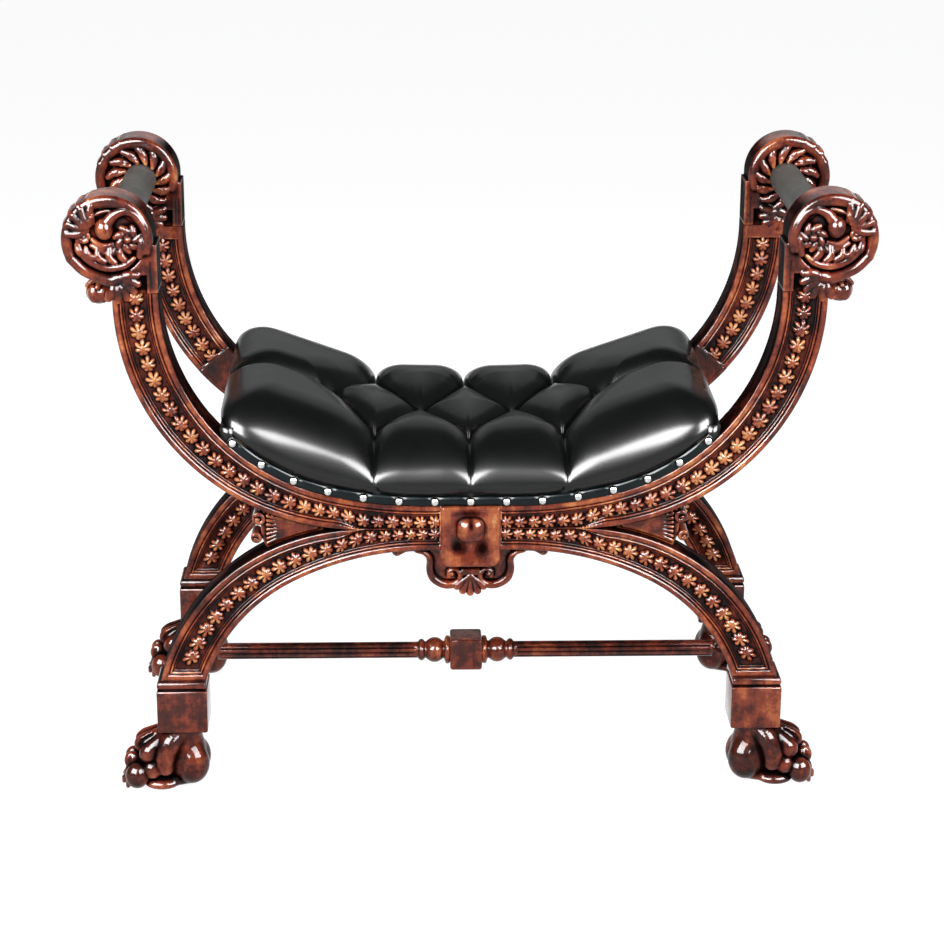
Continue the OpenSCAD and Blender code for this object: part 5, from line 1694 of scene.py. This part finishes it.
def leather(name, colour, roughness, crease_scale, coat, coat_roughness):
    """Dyed leather with fine pores and soft creases."""
    material, tree, shader = new_material(name)
    place = object_place(tree)
    cells = add_node(tree, "ShaderNodeTexVoronoi", {"Vector": place, "Scale": 620.0}, feature="F1")
    creases = noise(tree, place, crease_scale, 4.0, 0.55)
    pores = calculate(tree, "MULTIPLY", cells.outputs["Distance"], 0.35)
    darker = tuple(0.7 * c for c in colour)
    set_sockets(shader, {
        "Base Color": colour_ramp(tree, creases, [(0.35, darker), (0.7, colour)]),
        "Roughness": map_range(tree, creases, 0.3, 0.7, roughness - 0.04, roughness + 0.05),
        "Specular IOR Level": 0.035,
        "Coat Weight": coat,
        "Coat Roughness": coat_roughness,
        "Coat IOR": 1.45,
        "Normal": bump(tree, calculate(tree, "ADD", pores, creases), 0.16, 0.0005),
    })
    return material


def pewter():
    """Dull pewter nails, dark where their tone is low, as tarnish and painted shadow."""
    material, tree, shader = new_material("nail_pewter")
    dull = noise(tree, object_place(tree), 260.0, 3.0)
    bright = colour_ramp(tree, dull, [(0.3, (0.42, 0.42, 0.41)), (0.7, (0.6, 0.6, 0.58))])
    wear_and_painted_light = add_node(tree, "ShaderNodeMix", data_type="RGBA")
    set_sockets(wear_and_painted_light, {"Factor": tone_of(tree), 6: TARNISH_AND_SHADOW, 7: bright})
    roughness = map_range(tree, dull, 0.0, 1.0, 0.12, 0.24)
    set_sockets(shader, {"Base Color": wear_and_painted_light.outputs[2], "Roughness": roughness, "Metallic": 1.0})
    return material


def raw_wood(name, grain, light, dark, stretch):
    """Bare wood, light and dark along its grain."""
    material, tree, shader = new_material(name)
    lines = use_grain(tree, grain, object_place(tree), stretch, 4.0)
    colour = colour_ramp(tree, lines["Streaks"], [(0.3, dark), (0.7, light)])
    normal = bump(tree, lines["Pores"], 0.2, 0.0005)
    set_sockets(shader, {"Base Color": colour, "Roughness": 0.62, "Normal": normal})
    return material


def make_finishes(grain):
    """A finish for each of the record's material slots."""
    beech = ((0.62, 0.42, 0.25), (0.45, 0.28, 0.15), (30, 30, 30))
    bearer = ((0.36, 0.2, 0.09), (0.24, 0.12, 0.05), (40, 6, 40))
    plywood = ((0.4, 0.24, 0.12), (0.27, 0.15, 0.07), (8, 30, 60))
    return {
        WOOD_SLOT: mahogany("plain_mahogany", grain, carved=False),
        "dowel_beech": raw_wood("dowel_beech", grain, *beech),
        "seat_frame_wood": raw_wood("seat_frame_wood", grain, *bearer),
        "seat_plywood": raw_wood("seat_plywood", grain, *plywood),
        "seat_leather": leather("seat_leather", (0.0022, 0.003, 0.0028), 0.4, 16.0, 0.6, 0.21),
        # The rail leather's mid grey is partly its own colour and partly painted sheen
        "rail_leather": leather("rail_leather", (0.15, 0.15, 0.14), 0.5, 30.0, 0.2, 0.3),
        "trim_leather": leather("trim_leather", (0.004, 0.012, 0.014), 0.3, 40.0, 0.3, 0.16),
        "nail_pewter": pewter(),
    }


def dress_frame_nodes(finishes):
    """Gives every CAD node its slot's finish, for those that stay on show."""
    for part in frame["record"]["subparts"]:
        piece = frame["nodes"][part["node"]]
        piece.data.materials.clear()
        piece.data.materials.append(finishes[part["material_slot"]])


# The bench
def build():
    add_camera()
    add_world()
    add_lamps()
    add_floor()
    grain = grain_group()
    wood = mahogany("carved_mahogany", grain)
    finishes = make_finishes(grain)
    dress_frame_nodes(finishes)
    make_arms(wood)
    make_legs(wood)
    make_blocks(wood)
    make_scrolls(wood)
    make_buds(wood)
    make_paws(wood)
    make_spandrels(wood)
    make_aprons(wood)
    make_hubs(wood)
    make_bosses(wood)
    make_cushion(finishes["seat_leather"])
    make_buttons(finishes["seat_leather"])
    for end in ENDS:
        make_trim(end, finishes["trim_leather"])
        make_nails(end, finishes["nail_pewter"])
    make_rails(finishes["rail_leather"])
    make_stretcher(wood)
    make_cross_rails(wood)


build()
